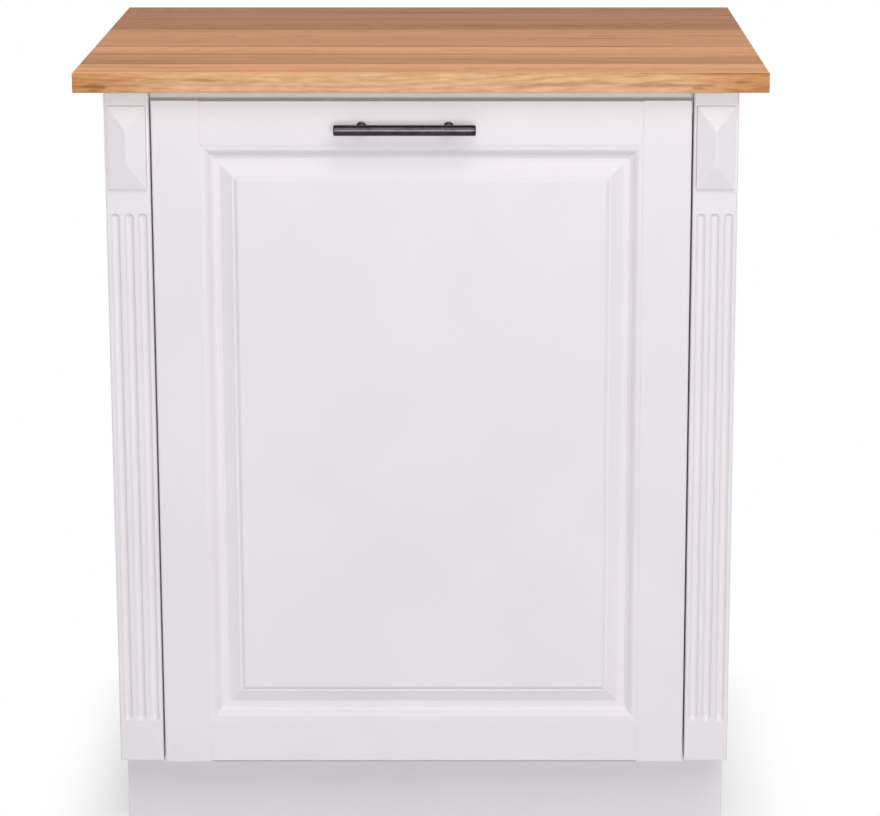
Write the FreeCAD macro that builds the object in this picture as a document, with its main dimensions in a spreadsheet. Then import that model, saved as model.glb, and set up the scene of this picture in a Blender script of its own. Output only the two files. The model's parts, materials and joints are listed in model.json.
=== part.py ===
import FreeCAD, Part
import math
import os
import Sketcher
from FreeCAD import Placement, Rotation, Vector

# Tilt-out vegetable bin cabinet: a white framed base cabinet on adjustable legs, with an oak
# worktop, two fluted pilasters and a raised-panel front that is hinged along its lower edge.
# A ventilated wooden bin is screwed to the back of the front and tilts out with it, until two
# slotted quadrant stays run onto their studs.
#
# Frame: millimetres, +Z up, floor at z = 0, x = 0 in the middle, -Y is the front. The origin
# lies on the floor under the middle of the box from the handle to the worktop's back edge.

doc = FreeCAD.newDocument("tilt_out_bin_cabinet")
sheet = doc.addObject("Spreadsheet::Sheet", "Dims")

# ---------------------------------------------------------------- driving dimensions (mm, degrees)
SIZES = (
    ("worktop_thickness", 22, "oak worktop"),
    ("worktop_arris", 2, "radius of the worktop's front edges"),
    ("worktop_overhang", 30, "worktop in front of the pilaster faces"),
    ("worktop_side_overhang", 30, "worktop beyond each side panel"),
    ("worktop_back_overhang", 10, "worktop behind the side panels"),
    ("body_width", 700, "over the two side panels"),
    ("carcass_height", 780, "side panels and pilasters"),
    ("carcass_depth", 560, "pilaster face to the rear edge of the side panels"),
    ("clear_height", 100, "floor to the underside of the carcass, feet screwed in"),
    ("board_thickness", 18, "side panels, bottom board and rear rail"),
    ("back_thickness", 3, "back panel"),
    ("back_inset", 18, "rear edge of the sides to the back panel"),
    ("back_groove", 8, "depth of the groove for the back panel"),
    ("back_float", 0.5, "back panel short of the groove's bottom"),
    ("front_rail_height", 30, "front rail under the worktop"),
    ("front_rail_depth", 60, "front rail, front to back"),
    ("rear_rail_height", 100, "upright rail under the worktop at the back"),
    ("wall_hole_pitch", 500, "wall fixing holes, centre to centre"),
    ("wall_hole_radius", 3, "wall fixing holes"),
    ("wall_hole_drop", 50, "wall fixing holes below the worktop"),
    ("pilaster_width", 50, "fluted pilaster"),
    ("pilaster_thickness", 18, "fluted pilaster"),
    ("pilaster_arris", 1.5, "radius of the pilaster's front edges"),
    ("flute_width", 10, "one flute on the face"),
    ("flute_depth", 3, "one flute at its middle"),
    ("flute_pitch", 15.3, "flute to flute"),
    ("flute_count", 3, "flutes in each pilaster"),
    ("flute_foot", 48, "foot of the pilaster to the lower ball end"),
    ("flute_top_gap", 28, "upper ball end to the pointed block"),
    ("block_width", 43, "pointed block on the pilaster"),
    ("block_height", 93, "pointed block"),
    ("block_top_gap", 18, "worktop to the pointed block"),
    ("block_base", 5, "square-edged base of the pointed block"),
    ("block_rise", 6, "hipped point above the base"),
    ("block_ridge", 39, "length of the ridge"),
    ("block_ridge_width", 0.5, "flat left along the ridge"),
    ("post_setback", 2, "post's inner face outside the pilaster's edge"),
    ("post_depth", 60, "post behind the pilaster, front to back"),
    ("door_thickness", 22, "stiles and rails"),
    ("door_side_gap", 2, "door to pilaster"),
    ("door_top_gap", 12, "door to worktop"),
    ("door_arris", 1.5, "radius of the door's outer front edges"),
    ("stile_flat", 53.5, "flat face of a stile"),
    ("rail_flat", 50, "flat face of a rail"),
    ("quirk_depth", 1, "small step at the sight edge"),
    ("quirk_flat", 4.5, "fillet between the step and the ogee"),
    ("ogee_width", 9.5, "ogee moulding across"),
    ("ogee_drop", 6, "ogee moulding, fall"),
    ("groove_front", 8.5, "door face to the panel groove"),
    ("groove_width", 7, "panel groove and panel edge"),
    ("groove_depth", 10, "panel groove"),
    ("panel_float", 1.5, "panel short of the groove's bottom"),
    ("valley_width", 7, "flat between the moulding and the bevel"),
    ("bevel_width", 13.5, "sloping margin of the raised panel"),
    ("bead_flat", 3.5, "flat between the bevel and the field"),
    ("bead_depth", 3.2, "door face to that flat"),
    ("field_step", 2.5, "sloping edge of the field"),
    ("field_depth", 0.8, "door face to the field"),
    ("bar_length", 156, "bar of the handle"),
    ("bar_radius", 6, "bar of the handle"),
    ("bar_round", 1.5, "rounding of the bar's ends"),
    ("bar_reach", 32, "door face to the front of the bar"),
    ("bar_post_pitch", 96, "handle screws, centre to centre"),
    ("bar_post_radius", 4, "post of the handle"),
    ("bar_collar_radius", 6, "collar where a post meets the door"),
    ("bar_collar_length", 2, "that collar"),
    ("bar_drop", 29, "top of the door to the middle of the bar"),
    ("bar_offset", 18, "middle of the door to the middle of the bar, to the left"),
    ("handle_screw_radius", 2, "screw through the door into a post"),
    ("handle_screw_grip", 10, "length of that screw inside the post"),
    ("handle_head_radius", 4, "head of that screw"),
    ("handle_head_height", 2.5, "head of that screw"),
    ("screw_clearance", 0.1, "hole round a screw, on the radius"),
    ("hinge_length", 60, "butt hinge"),
    ("hinge_inset", 0.5, "moulding of a stile to the end of a hinge"),
    ("leaf_thickness", 1.5, "hinge leaf"),
    ("leaf_space", 0.6, "between the closed leaves"),
    ("leaf_height", 16, "hinge leaf above its knuckles"),
    ("knuckle_radius", 3, "hinge knuckle"),
    ("knuckle_count", 5, "knuckles in one hinge"),
    ("knuckle_gap", 0.25, "between two knuckles, and round a knuckle"),
    ("pin_radius", 1.5, "hinge pin"),
    ("pin_clearance", 0.05, "round the hinge pin, on the radius"),
    ("pin_head_radius", 2.4, "head of the hinge pin"),
    ("pin_head_length", 1, "head of the hinge pin"),
    ("hinge_screw_pitch", 36, "the two screws of a leaf"),
    ("hinge_screw_radius", 1.7, "screw of a hinge leaf"),
    ("hinge_screw_length", 14, "that screw beyond the leaf"),
    ("hinge_head_radius", 3.2, "flush head of that screw"),
    ("tilt_travel", 35, "how far the front tilts out, degrees"),
    ("stay_radius", 400, "hinge axis to the middle of the stay's slot"),
    ("stay_lead", 6, "angle of the stud behind the upright, degrees"),
    ("stay_band", 26, "width of the stay"),
    ("stay_thickness", 2, "steel of the stay"),
    ("stay_gap", 8, "post to stay"),
    ("stay_flange", 24, "flange of the stay on the door"),
    ("stay_flange_tail", 20, "flange below the stay"),
    ("stud_radius", 4, "shoulder of the stop stud"),
    ("slot_clearance", 0.1, "round the stud in the slot"),
    ("stud_head_radius", 7, "head of the stop stud"),
    ("stud_head_height", 3, "head of the stop stud"),
    ("stud_shank_radius", 2.5, "screwed end of the stop stud"),
    ("stud_shank_length", 20, "screwed end of the stop stud"),
    ("stud_play", 0.3, "stay to the stud's head"),
    ("bin_side_gap", 2, "bin side to the flange of a stay"),
    ("bin_depth", 400, "door's back to the outside of the bin's back"),
    ("bin_foot_gap", 8, "bottom board to the bin"),
    ("bin_side_thickness", 12, "bin sides"),
    ("bin_panel_thickness", 9, "bin front, back, bottom and divider"),
    ("bin_top_gap", 49.25, "catches to the rounded top of the bin sides, above the hinge axis"),
    ("bin_back_drop", 34, "rear top corner of a bin side to the top of the bin back"),
    ("divider_drop", 70, "rounded top of the bin sides to that of the divider"),
    ("vent_radius", 11, "air holes"),
    ("vent_pitch", 60, "air holes, centre to centre"),
    ("vent_side_columns", 5, "air holes along a bin side"),
    ("vent_side_rows", 3, "air holes up a bin side"),
    ("vent_side_edge", 46, "side edge of the back or the bottom to its outermost air holes"),
    ("vent_back_rows", 3, "air holes up the back"),
    ("vent_bottom_rows", 4, "air holes from front to back of the bottom"),
    ("vent_margin", 80, "edge of a panel to the first air hole"),
    ("bin_screw_inset", 8, "bin side to the screws of the bin front"),
    ("bin_screw_foot", 50, "foot of the bin front to its lowest screws"),
    ("bin_screw_top", 55, "highest screws of the bin front to its top"),
    ("bin_screw_rows", 4, "screws up each side of the bin front"),
    ("bin_screw_radius", 2, "screw of the bin front"),
    ("bin_screw_grip", 14, "that screw inside the stile"),
    ("bin_head_radius", 4, "head of that screw"),
    ("bin_head_height", 2, "head of that screw"),
    ("top_screw_pitch", 220, "screws from the front rail into the worktop"),
    ("top_screw_radius", 2, "that screw"),
    ("top_screw_grip", 14, "that screw inside the worktop"),
    ("angle_width", 40, "steel angle between the rear rail and the worktop"),
    ("angle_leg", 30, "each leg of that angle"),
    ("angle_thickness", 2, "steel of that angle"),
    ("angle_inset", 30, "wall fixing hole to that angle"),
    ("catch_pitch", 300, "magnetic catches, centre to centre"),
    ("catch_length", 46, "magnetic catch over its ears"),
    ("catch_ear", 8, "ear of the catch"),
    ("catch_ear_height", 3, "ear of the catch"),
    ("catch_depth", 14, "magnetic catch"),
    ("catch_height", 14, "magnetic catch"),
    ("strike_length", 38, "strike plate on the door"),
    ("strike_height", 12, "strike plate on the door"),
    ("strike_thickness", 1, "strike plate on the door"),
    ("closed_gap", 0.3, "door to what it closes against"),
    ("rail_relief", 2, "door's back to the front rail"),
    ("bumper_radius", 5, "rubber bumper on the front rail"),
    ("bumper_inset", 32, "post to the middle of a bumper"),
    ("leg_side_inset", 60, "outer face of a side panel to the middle of a leg"),
    ("leg_front_inset", 130, "pilaster face to the front legs"),
    ("leg_rear_inset", 70, "rear edge of the side panels to the rear legs"),
    ("socket_radius", 30, "flange of a leg socket"),
    ("socket_thickness", 4, "flange of a leg socket"),
    ("tube_radius", 14, "tube of a leg socket"),
    ("tube_foot", 30, "floor to the lower end of the tube"),
    ("foot_radius", 25, "foot pad"),
    ("foot_height", 8, "foot pad"),
    ("foot_neck_radius", 12, "knurled ring of the foot"),
    ("foot_stem_radius", 9, "stem of the foot in the tube"),
    ("foot_stem_length", 55, "stem of the foot in the tube"),
    ("foot_clearance", 0.05, "round the stem, on the radius"),
    ("socket_relief", 2, "stem to the end of its bore"),
    ("plinth_setback", 70, "pilaster face to the plinth"),
    ("plinth_thickness", 16, "plinth board"),
    ("plinth_floor_gap", 2, "floor to the plinth"),
    ("plinth_top_gap", 2, "plinth to the carcass"),
    ("clip_wall", 4, "ring of a plinth clip round the tube"),
    ("clip_height", 14, "plinth clip"),
    ("clip_level", 55, "floor to the plinth clip"),
    ("clip_mouth", 18, "open side of a plinth clip"),
)
for row, (alias, number, note) in enumerate(SIZES, start=1):
    sheet.set(f"A{row}", note)
    sheet.set(f"B{row}", str(number))
    sheet.setAlias(f"B{row}", alias)
doc.recompute()

# ------------------------------------------------- levels and planes worked out from the sizes above
HALF_BODY = "(Dims.body_width / 2)"
WORKTOP_WIDTH = "(Dims.body_width + 2 * Dims.worktop_side_overhang)"
BEHIND_FACE = "(Dims.carcass_depth + Dims.worktop_back_overhang)"
WORKTOP_DEPTH = f"({BEHIND_FACE} + Dims.worktop_overhang)"
DOOR_PROUD = "(Dims.door_thickness - Dims.pilaster_thickness)"
FACE = f"(-({BEHIND_FACE} - {DOOR_PROUD} - Dims.bar_reach) / 2)"
CARCASS_TOP = "(Dims.clear_height + Dims.carcass_height)"
CARCASS_BACK = f"({FACE} + Dims.carcass_depth)"
POST_FRONT = f"({FACE} + Dims.pilaster_thickness)"
POST_INNER = f"({HALF_BODY} - Dims.pilaster_width + Dims.post_setback)"
INSIDE = f"({HALF_BODY} - Dims.board_thickness)"
BACK_FRONT = f"({CARCASS_BACK} - Dims.back_inset - Dims.back_thickness)"
FLOOR_TOP = "(Dims.clear_height + Dims.board_thickness)"
BLOCK_FOOT = "(Dims.carcass_height - Dims.block_top_gap - Dims.block_height)"
FLUTE_LENGTH = f"({BLOCK_FOOT} - Dims.flute_foot - Dims.flute_top_gap)"
LEG_X = f"({HALF_BODY} - Dims.leg_side_inset)"

DOOR_HALF = f"({HALF_BODY} - Dims.pilaster_width - Dims.door_side_gap)"
DOOR_FACE = f"({FACE} - {DOOR_PROUD})"
DOOR_BACK = f"({DOOR_FACE} + Dims.door_thickness)"
DOOR_HEIGHT = "(Dims.carcass_height - Dims.door_top_gap)"
DOOR_TOP = f"({CARCASS_TOP} - Dims.door_top_gap)"
DOOR_MIDDLE = f"(Dims.clear_height + {DOOR_HEIGHT} / 2)"
PROFILE = "(Dims.quirk_flat + Dims.ogee_width)"
STILE_GROOVE = f"(Dims.stile_flat + {PROFILE} - Dims.groove_depth)"

AXIS_SETBACK = "(Dims.leaf_thickness + Dims.leaf_space / 2)"
AXIS_DROP = "(Dims.knuckle_radius + Dims.knuckle_gap)"
AXIS_Y = f"({DOOR_BACK} + {AXIS_SETBACK})"
AXIS_Z = f"(Dims.clear_height - {AXIS_DROP})"
BOARD_FRONT = f"({AXIS_Y} + {AXIS_SETBACK})"
KNUCKLE_PITCH = "(Dims.hinge_length / Dims.knuckle_count)"
HINGE_X = (f"({DOOR_HALF} - Dims.stile_flat - {PROFILE} - Dims.hinge_inset"
           " - Dims.hinge_length / 2)")

STAY_OUTER = f"({POST_INNER} - Dims.stay_gap)"
BIN_HALF = f"({STAY_OUTER} - Dims.stay_flange - Dims.bin_side_gap)"
BIN_INSIDE = f"({BIN_HALF} - Dims.bin_side_thickness)"
BIN_FOOT = f"({FLOOR_TOP} + Dims.bin_foot_gap)"
RAIL_FRONT = f"({DOOR_BACK} + Dims.rail_relief)"
RAIL_FOOT = f"({CARCASS_TOP} - Dims.front_rail_height)"
BUMPER_X = f"({POST_INNER} - Dims.bumper_inset)"
LEAF_SCREW_Z = f"({AXIS_DROP} + Dims.leaf_height / 2)"
BAR_Y = f"({DOOR_FACE} - Dims.bar_reach + Dims.bar_radius)"
BAR_Z = f"({DOOR_TOP} - Dims.bar_drop)"
BIN_FRONT_Y = f"(Dims.bin_panel_thickness - {AXIS_SETBACK})"
BIN_BACK_Y = f"(Dims.bin_depth - {AXIS_SETBACK})"
BIN_FOOT_Z = f"({BIN_FOOT} - {AXIS_Z})"
BIN_ARC = f"({RAIL_FOOT} - Dims.catch_height - {AXIS_Z} - Dims.bin_top_gap)"
BIN_FRONT_HEIGHT = f"(sqrt({BIN_ARC} ^ 2 - {BIN_FRONT_Y} ^ 2) - {BIN_FOOT_Z})"
BIN_BACK_HEIGHT = (f"(sqrt({BIN_ARC} ^ 2 - {BIN_BACK_Y} ^ 2) - {BIN_FOOT_Z}"
                   " - Dims.bin_back_drop)")
BIN_SCREW_X = f"({BIN_INSIDE} - Dims.bin_screw_inset)"
BIN_SCREW_PITCH = (f"(({BIN_FRONT_HEIGHT} - Dims.bin_screw_foot - Dims.bin_screw_top)"
                   " / (Dims.bin_screw_rows - 1))")
VENT_SPAN = f"({BIN_INSIDE} - Dims.vent_side_edge)"
VENT_COLUMNS = f"(floor(2 * {VENT_SPAN} / Dims.vent_pitch) + 1)"
VENT_START = f"({BIN_INSIDE} - Dims.vent_pitch * ({VENT_COLUMNS} - 1) / 2)"

SIDES = (("left", -1), ("right", 1))
HERE = ("0", "0", "0")


# ------------------------------------------------------------------------------- modelling helpers
def number(expression):
    """The value of an expression in the sheet's names."""
    return float(sheet.evalExpression(expression))


def bind(feature, **expressions):
    """Tie properties of a feature to expressions; two underscores stand for a full stop."""
    for name, expression in expressions.items():
        feature.setExpression(name.replace("__", "."), str(expression))


def origin(body, role):
    """A plane or an axis of a body's own origin, found by its role."""
    return [item for item in body.Origin.OriginFeatures if item.Role == role][0]


def new_body(label, x="0", y="0", z="0"):
    """An empty body whose own origin lies at x, y, z."""
    body = doc.addObject("PartDesign::Body", label)
    body.Label = label
    bind(body, Placement__Base__x=x, Placement__Base__y=y, Placement__Base__z=z)
    return body


def box(body, name, corner, size, cut=False):
    """A box feature from its lowest corner and its size along X, Y and Z."""
    kind = "SubtractiveBox" if cut else "AdditiveBox"
    feature = body.newObject("PartDesign::" + kind, name)
    bind(feature, Length=size[0], Width=size[1], Height=size[2])
    bind(feature, Placement__Base__x=corner[0], Placement__Base__y=corner[1],
         Placement__Base__z=corner[2])
    return feature


DIRECTIONS = {
    "+x": Rotation(Vector(0, 1, 0), 90),
    "-x": Rotation(Vector(0, 1, 0), -90),
    "+y": Rotation(Vector(1, 0, 0), -90),
    "-y": Rotation(Vector(1, 0, 0), 90),
    "+z": Rotation(),
    "-z": Rotation(Vector(1, 0, 0), 180),
}


def cylinder(body, name, start, direction, radius, length, cut=False):
    """A cylinder feature that starts at a point and runs along an axis direction."""
    kind = "SubtractiveCylinder" if cut else "AdditiveCylinder"
    feature = body.newObject("PartDesign::" + kind, name)
    feature.Placement = Placement(Vector(), DIRECTIONS[direction])
    bind(feature, Radius=radius, Height=length)
    bind(feature, Placement__Base__x=start[0], Placement__Base__y=start[1],
         Placement__Base__z=start[2])
    return feature


def countersink(body, name, start, direction, wide, narrow, depth, cut=False):
    """A cone feature from its wide end at a point, narrowing along an axis direction."""
    kind = "SubtractiveCone" if cut else "AdditiveCone"
    feature = body.newObject("PartDesign::" + kind, name)
    feature.Placement = Placement(Vector(), DIRECTIONS[direction])
    bind(feature, Radius1=wide, Radius2=narrow, Height=depth)
    bind(feature, Placement__Base__x=start[0], Placement__Base__y=start[1],
         Placement__Base__z=start[2])
    return feature


def repeat(body, feature, role, pitch, count, role2=None, pitch2="0", count2=1):
    """Repeat a feature along one or two axes of the body, at a pitch, and make that the tip."""
    pattern = body.newObject("PartDesign::LinearPattern", feature.Name + "_row")
    pattern.Originals = [feature]
    pattern.Direction = (origin(body, role), [""])
    bind(pattern, Length=f"({pitch}) * ({count} - 1)", Occurrences=count)
    if role2:
        pattern.Direction2 = (origin(body, role2), [""])
        bind(pattern, Length2=f"({pitch2}) * ({count2} - 1)", Occurrences2=count2)
    body.Tip = pattern
    return pattern


def draw(body, name, role, corners, bends=None, sense=1):
    """A closed sketch on one of the body's planes. Each corner is a pair of expressions, and
    edge i runs from corner i to the next. bends gives edge i as an arc, with its radius and a
    turn of 1 where its centre lies left of its direction, or -1; sense reverses them all."""
    bends = bends or {}
    sketch = body.newObject("Sketcher::SketchObject", name)
    sketch.AttachmentSupport = [(origin(body, role), "")]
    sketch.MapMode = "FlatFace"
    points = [Vector(number(x), number(y), 0) for x, y in corners]
    count = len(points)
    for i, start in enumerate(points):
        end = points[(i + 1) % count]
        if i in bends:
            radius, turn = number(bends[i][0]), bends[i][1] * sense
            chord = end - start
            left = Vector(-chord.y, chord.x, 0).normalize() * turn
            reach = math.sqrt(max(radius ** 2 - (chord.Length / 2) ** 2, 0))
            middle = (start + end) / 2 + left * (reach - radius)
            sketch.addGeometry(Part.Arc(start, middle, end), False)
        else:
            sketch.addGeometry(Part.LineSegment(start, end), False)
    ends = []
    for i in range(count):
        reversed_arc = i in bends and bends[i][1] * sense < 0
        ends.append((2, 1) if reversed_arc else (1, 2))
    for i in range(count):
        after = (i + 1) % count
        sketch.addConstraint(Sketcher.Constraint("Coincident", i, ends[i][1], after, ends[after][0]))
    for i, (x, y) in enumerate(corners):
        for kind, expression in (("DistanceX", x), ("DistanceY", y)):
            limit = Sketcher.Constraint(kind, i, ends[i][0], number(expression))
            sketch.setExpression(f"Constraints[{sketch.addConstraint(limit)}]", expression)
    for i, (radius, turn) in bends.items():
        limit = Sketcher.Constraint("Radius", i, number(radius))
        sketch.setExpression(f"Constraints[{sketch.addConstraint(limit)}]", radius)
    return sketch


def pad(body, sketch, length):
    """Pad a sketch along its plane's normal."""
    feature = body.newObject("PartDesign::Pad", sketch.Name + "_pad")
    feature.Profile = sketch
    bind(feature, Length=length)
    return feature


def turned(body, sketch, axis):
    """Revolve a sketch about its own H_Axis or V_Axis."""
    feature = body.newObject("PartDesign::Revolution", sketch.Name + "_turned")
    feature.Profile = sketch
    feature.ReferenceAxis = (sketch, [axis])
    feature.Angle = 360
    return feature


def board(label, x, y, z, width, depth, height):
    """A plain board from its lowest corner, as a body with one box."""
    body = new_body(label, x, y, z)
    box(body, label + "_board", HERE, (width, depth, height))
    return body


def screws(body, heads, shanks, *row):
    """A group of separate screws: a cone or cylinder for the head and a cylinder for the shank,
    each given as (maker, its arguments), both repeated in the same rows."""
    for part_name, (maker, *arguments) in (("_head", heads), ("_shank", shanks)):
        repeat(body, maker(body, body.Label + part_name, *arguments), *row)
    return body


def polar(radius, angle):
    """A point at a radius from the hinge axis, at an angle behind the upright, as y and z."""
    return (f"({radius}) * sin({angle})", f"({radius}) * cos({angle})")


def boolean(kind, label, base, tool):
    """A Part::Cut or Part::Common of two objects, under its own label."""
    result = doc.addObject("Part::" + kind, label)
    result.Label = label
    result.Base = base
    result.Tool = tool
    return result


# ------------------------------------------------------------------------------------------ worktop
def make_worktop():
    """Oak board whose two front edges are rounded; its section is swept from left to right."""
    body = new_body("worktop", f"-{WORKTOP_WIDTH} / 2", f"{FACE} - Dims.worktop_overhang",
                    CARCASS_TOP)
    arris, depth, thick = "Dims.worktop_arris", WORKTOP_DEPTH, "Dims.worktop_thickness"
    corners = [(arris, "0"), (depth, "0"), (depth, thick), (arris, thick),
               ("0", f"{thick} - {arris}"), ("0", arris)]
    section = draw(body, "worktop_section", "YZ_Plane", corners, {3: (arris, 1), 5: (arris, 1)})
    pad(body, section, WORKTOP_WIDTH)
    hole = cylinder(body, "worktop_pilot", (f"{WORKTOP_WIDTH} / 2 - Dims.top_screw_pitch",
                    f"{RAIL_FRONT} + Dims.front_rail_depth / 2 - {FACE} + Dims.worktop_overhang",
                    "0"), "+z", "Dims.top_screw_radius + Dims.screw_clearance",
                    "Dims.top_screw_grip", cut=True)
    repeat(body, hole, "X_Axis", "Dims.top_screw_pitch", 3)
    return body


# ------------------------------------------------------------------------------------------ carcass
def make_side(hand, side):
    """Side panel with a groove for the back panel along its inner face."""
    label = f"side_{hand}"
    depth = "(Dims.carcass_depth - Dims.pilaster_thickness)"
    x = f"-{HALF_BODY}" if side < 0 else INSIDE
    body = board(label, x, POST_FRONT, "Dims.clear_height", "Dims.board_thickness", depth,
                 "Dims.carcass_height")
    groove_x = "Dims.board_thickness - Dims.back_groove" if side < 0 else "0"
    box(body, label + "_groove", (groove_x, f"{depth} - Dims.back_inset - Dims.back_thickness", "0"),
        ("Dims.back_groove", "Dims.back_thickness", "Dims.carcass_height"), cut=True)
    return body


def make_rear_rail():
    """Upright rail between the sides, in front of the back panel, with two wall fixing holes."""
    body = board("rear_rail", f"-{INSIDE}", f"{BACK_FRONT} - Dims.board_thickness",
                 f"{CARCASS_TOP} - Dims.rear_rail_height", f"2 * {INSIDE}", "Dims.board_thickness",
                 "Dims.rear_rail_height")
    hole = cylinder(body, "rail_hole", (f"{INSIDE} - Dims.wall_hole_pitch / 2", "0",
                    "Dims.rear_rail_height - Dims.wall_hole_drop"), "+y",
                    "Dims.wall_hole_radius", "Dims.board_thickness", cut=True)
    repeat(body, hole, "X_Axis", "Dims.wall_hole_pitch", 2)
    return body


def make_back():
    """Thin back panel that slides in the grooves of the sides, with holes behind the rail's."""
    half = f"({INSIDE} + Dims.back_groove - Dims.back_float)"
    body = board("back_panel", f"-{half}", BACK_FRONT, "Dims.clear_height", f"2 * {half}",
                 "Dims.back_thickness", "Dims.carcass_height")
    hole = cylinder(body, "back_hole", (f"{half} - Dims.wall_hole_pitch / 2", "0",
                    "Dims.carcass_height - Dims.wall_hole_drop"), "+y",
                    "Dims.wall_hole_radius", "Dims.back_thickness", cut=True)
    repeat(body, hole, "X_Axis", "Dims.wall_hole_pitch", 2)
    return body


def make_bottom_board():
    """Bottom board between the sides; the fixed hinge leaves are screwed to its front edge."""
    body = board("bottom_board", f"-{INSIDE}", BOARD_FRONT, "Dims.clear_height", f"2 * {INSIDE}",
                 f"{BACK_FRONT} - {BOARD_FRONT}", "Dims.board_thickness")
    start = (f"{INSIDE} - {HINGE_X} - Dims.hinge_screw_pitch / 2", "0",
             f"{LEAF_SCREW_Z} - {AXIS_DROP}")
    hole = cylinder(body, "board_pilot", start, "+y",
                    "Dims.hinge_screw_radius + Dims.screw_clearance",
                    "Dims.hinge_screw_length", cut=True)
    repeat(body, hole, "X_Axis", "Dims.hinge_screw_pitch", 2, "X_Axis", f"2 * {HINGE_X}", 2)
    return body


def make_post(hand, side):
    """Post that backs the pilaster and holds the stop stud of the stay."""
    label = f"post_{hand}"
    width = f"({INSIDE} - {POST_INNER})"
    x = f"-{INSIDE}" if side < 0 else POST_INNER
    body = board(label, x, POST_FRONT, FLOOR_TOP, width, "Dims.post_depth",
                 "Dims.carcass_height - Dims.board_thickness")
    stud_y, stud_z = polar("Dims.stay_radius", "Dims.stay_lead")
    inner, outward = (width, "-x") if side < 0 else ("0", "+x")
    cylinder(body, label + "_hole", (inner, f"{AXIS_Y} + {stud_y} - {POST_FRONT}",
             f"{AXIS_Z} + {stud_z} - {FLOOR_TOP}"), outward,
             "Dims.stud_shank_radius + Dims.screw_clearance", "Dims.stud_shank_length", cut=True)
    return body


def make_pilaster(hand, side):
    """Pilaster with three ball-ended flutes, each cut by a capsule that stands half outside."""
    label = f"pilaster_{hand}"
    body = new_body(label, f"{side} * ({HALF_BODY} - Dims.pilaster_width / 2)", POST_FRONT,
                    "Dims.clear_height")
    half, deep, arris = "Dims.pilaster_width / 2", "Dims.pilaster_thickness", "Dims.pilaster_arris"
    corners = [(half, "0"), (f"-{half}", "0"), (f"-{half}", f"{arris} - {deep}"),
               (f"{arris} - {half}", f"-{deep}"), (f"{half} - {arris}", f"-{deep}"),
               (half, f"{arris} - {deep}")]
    section = draw(body, label + "_section", "XY_Plane", corners, {2: (arris, 1), 4: (arris, 1)})
    pad(body, section, "Dims.carcass_height")

    ball = "((Dims.flute_width ^ 2 / 4 + Dims.flute_depth ^ 2) / (2 * Dims.flute_depth))"
    low = "(Dims.flute_foot + Dims.flute_width / 2)"
    high = f"(Dims.flute_foot + {FLUTE_LENGTH} - Dims.flute_width / 2)"
    capsule = [("0", f"{low} - {ball}"), (ball, low), (ball, high), ("0", f"{high} + {ball}")]
    flute = draw(body, label + "_flute", "YZ_Plane", capsule, {0: (ball, 1), 2: (ball, 1)})
    bind(flute, AttachmentOffset__Base__x=f"-(Dims.pilaster_thickness + {ball} - Dims.flute_depth)",
         AttachmentOffset__Base__z="-(Dims.flute_count - 1) / 2 * Dims.flute_pitch")
    groove = body.newObject("PartDesign::Groove", label + "_groove")
    groove.Profile = flute
    groove.ReferenceAxis = (flute, ["V_Axis"])
    groove.Angle = 360
    repeat(body, groove, "X_Axis", "Dims.flute_pitch", "Dims.flute_count")
    return body


def make_block(hand, side):
    """Pointed block: a square-edged base with a hipped point whose ridge stands upright."""
    label = f"block_{hand}"
    body = new_body(label, f"{side} * ({HALF_BODY} - Dims.pilaster_width / 2)", FACE,
                    f"Dims.clear_height + {BLOCK_FOOT}")
    box(body, label + "_base", ("-Dims.block_width / 2", "-Dims.block_base", "0"),
        ("Dims.block_width", "Dims.block_base", "Dims.block_height"))
    point = body.newObject("PartDesign::AdditiveWedge", label + "_point")
    point.Placement = Placement(Vector(), Rotation(Vector(0, 0, 1), 180))
    point.Ymin = 0
    point.Zmin = 0
    bind(point, Placement__Base__y="-Dims.block_base", Xmin="-Dims.block_width / 2",
         Xmax="Dims.block_width / 2", Ymax="Dims.block_rise", Zmax="Dims.block_height",
         X2min="-Dims.block_ridge_width / 2", X2max="Dims.block_ridge_width / 2",
         Z2min="(Dims.block_height - Dims.block_ridge) / 2",
         Z2max="(Dims.block_height + Dims.block_ridge) / 2")
    return body


# --------------------------------------------------------------------------------- raised-panel front
def frame_section(flat):
    """Section of a stile or rail as pairs (distance from its outer edge, depth from the face):
    rounded outer edge, flat, quirk, ogee of two equal arcs, lip, panel groove and square back."""
    arris, depth, quirk = "Dims.door_arris", "Dims.door_thickness", "Dims.quirk_depth"
    start = f"({flat} + Dims.quirk_flat)"
    lip = f"({flat} + {PROFILE})"
    groove_back = "(Dims.groove_front + Dims.groove_width)"
    corners = [("0", arris), (arris, "0"), (flat, "0"), (flat, quirk), (start, quirk),
               (f"{start} + Dims.ogee_width / 2", f"{quirk} + Dims.ogee_drop / 2"),
               (lip, f"{quirk} + Dims.ogee_drop"), (lip, "Dims.groove_front"),
               (f"{lip} - Dims.groove_depth", "Dims.groove_front"),
               (f"{lip} - Dims.groove_depth", groove_back), (lip, groove_back), (lip, depth),
               ("0", depth)]
    ogee = "((Dims.ogee_width ^ 2 + Dims.ogee_drop ^ 2) / (4 * Dims.ogee_drop))"
    return corners, {0: (arris, 1), 4: (ogee, 1), 5: (ogee, -1)}


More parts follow.
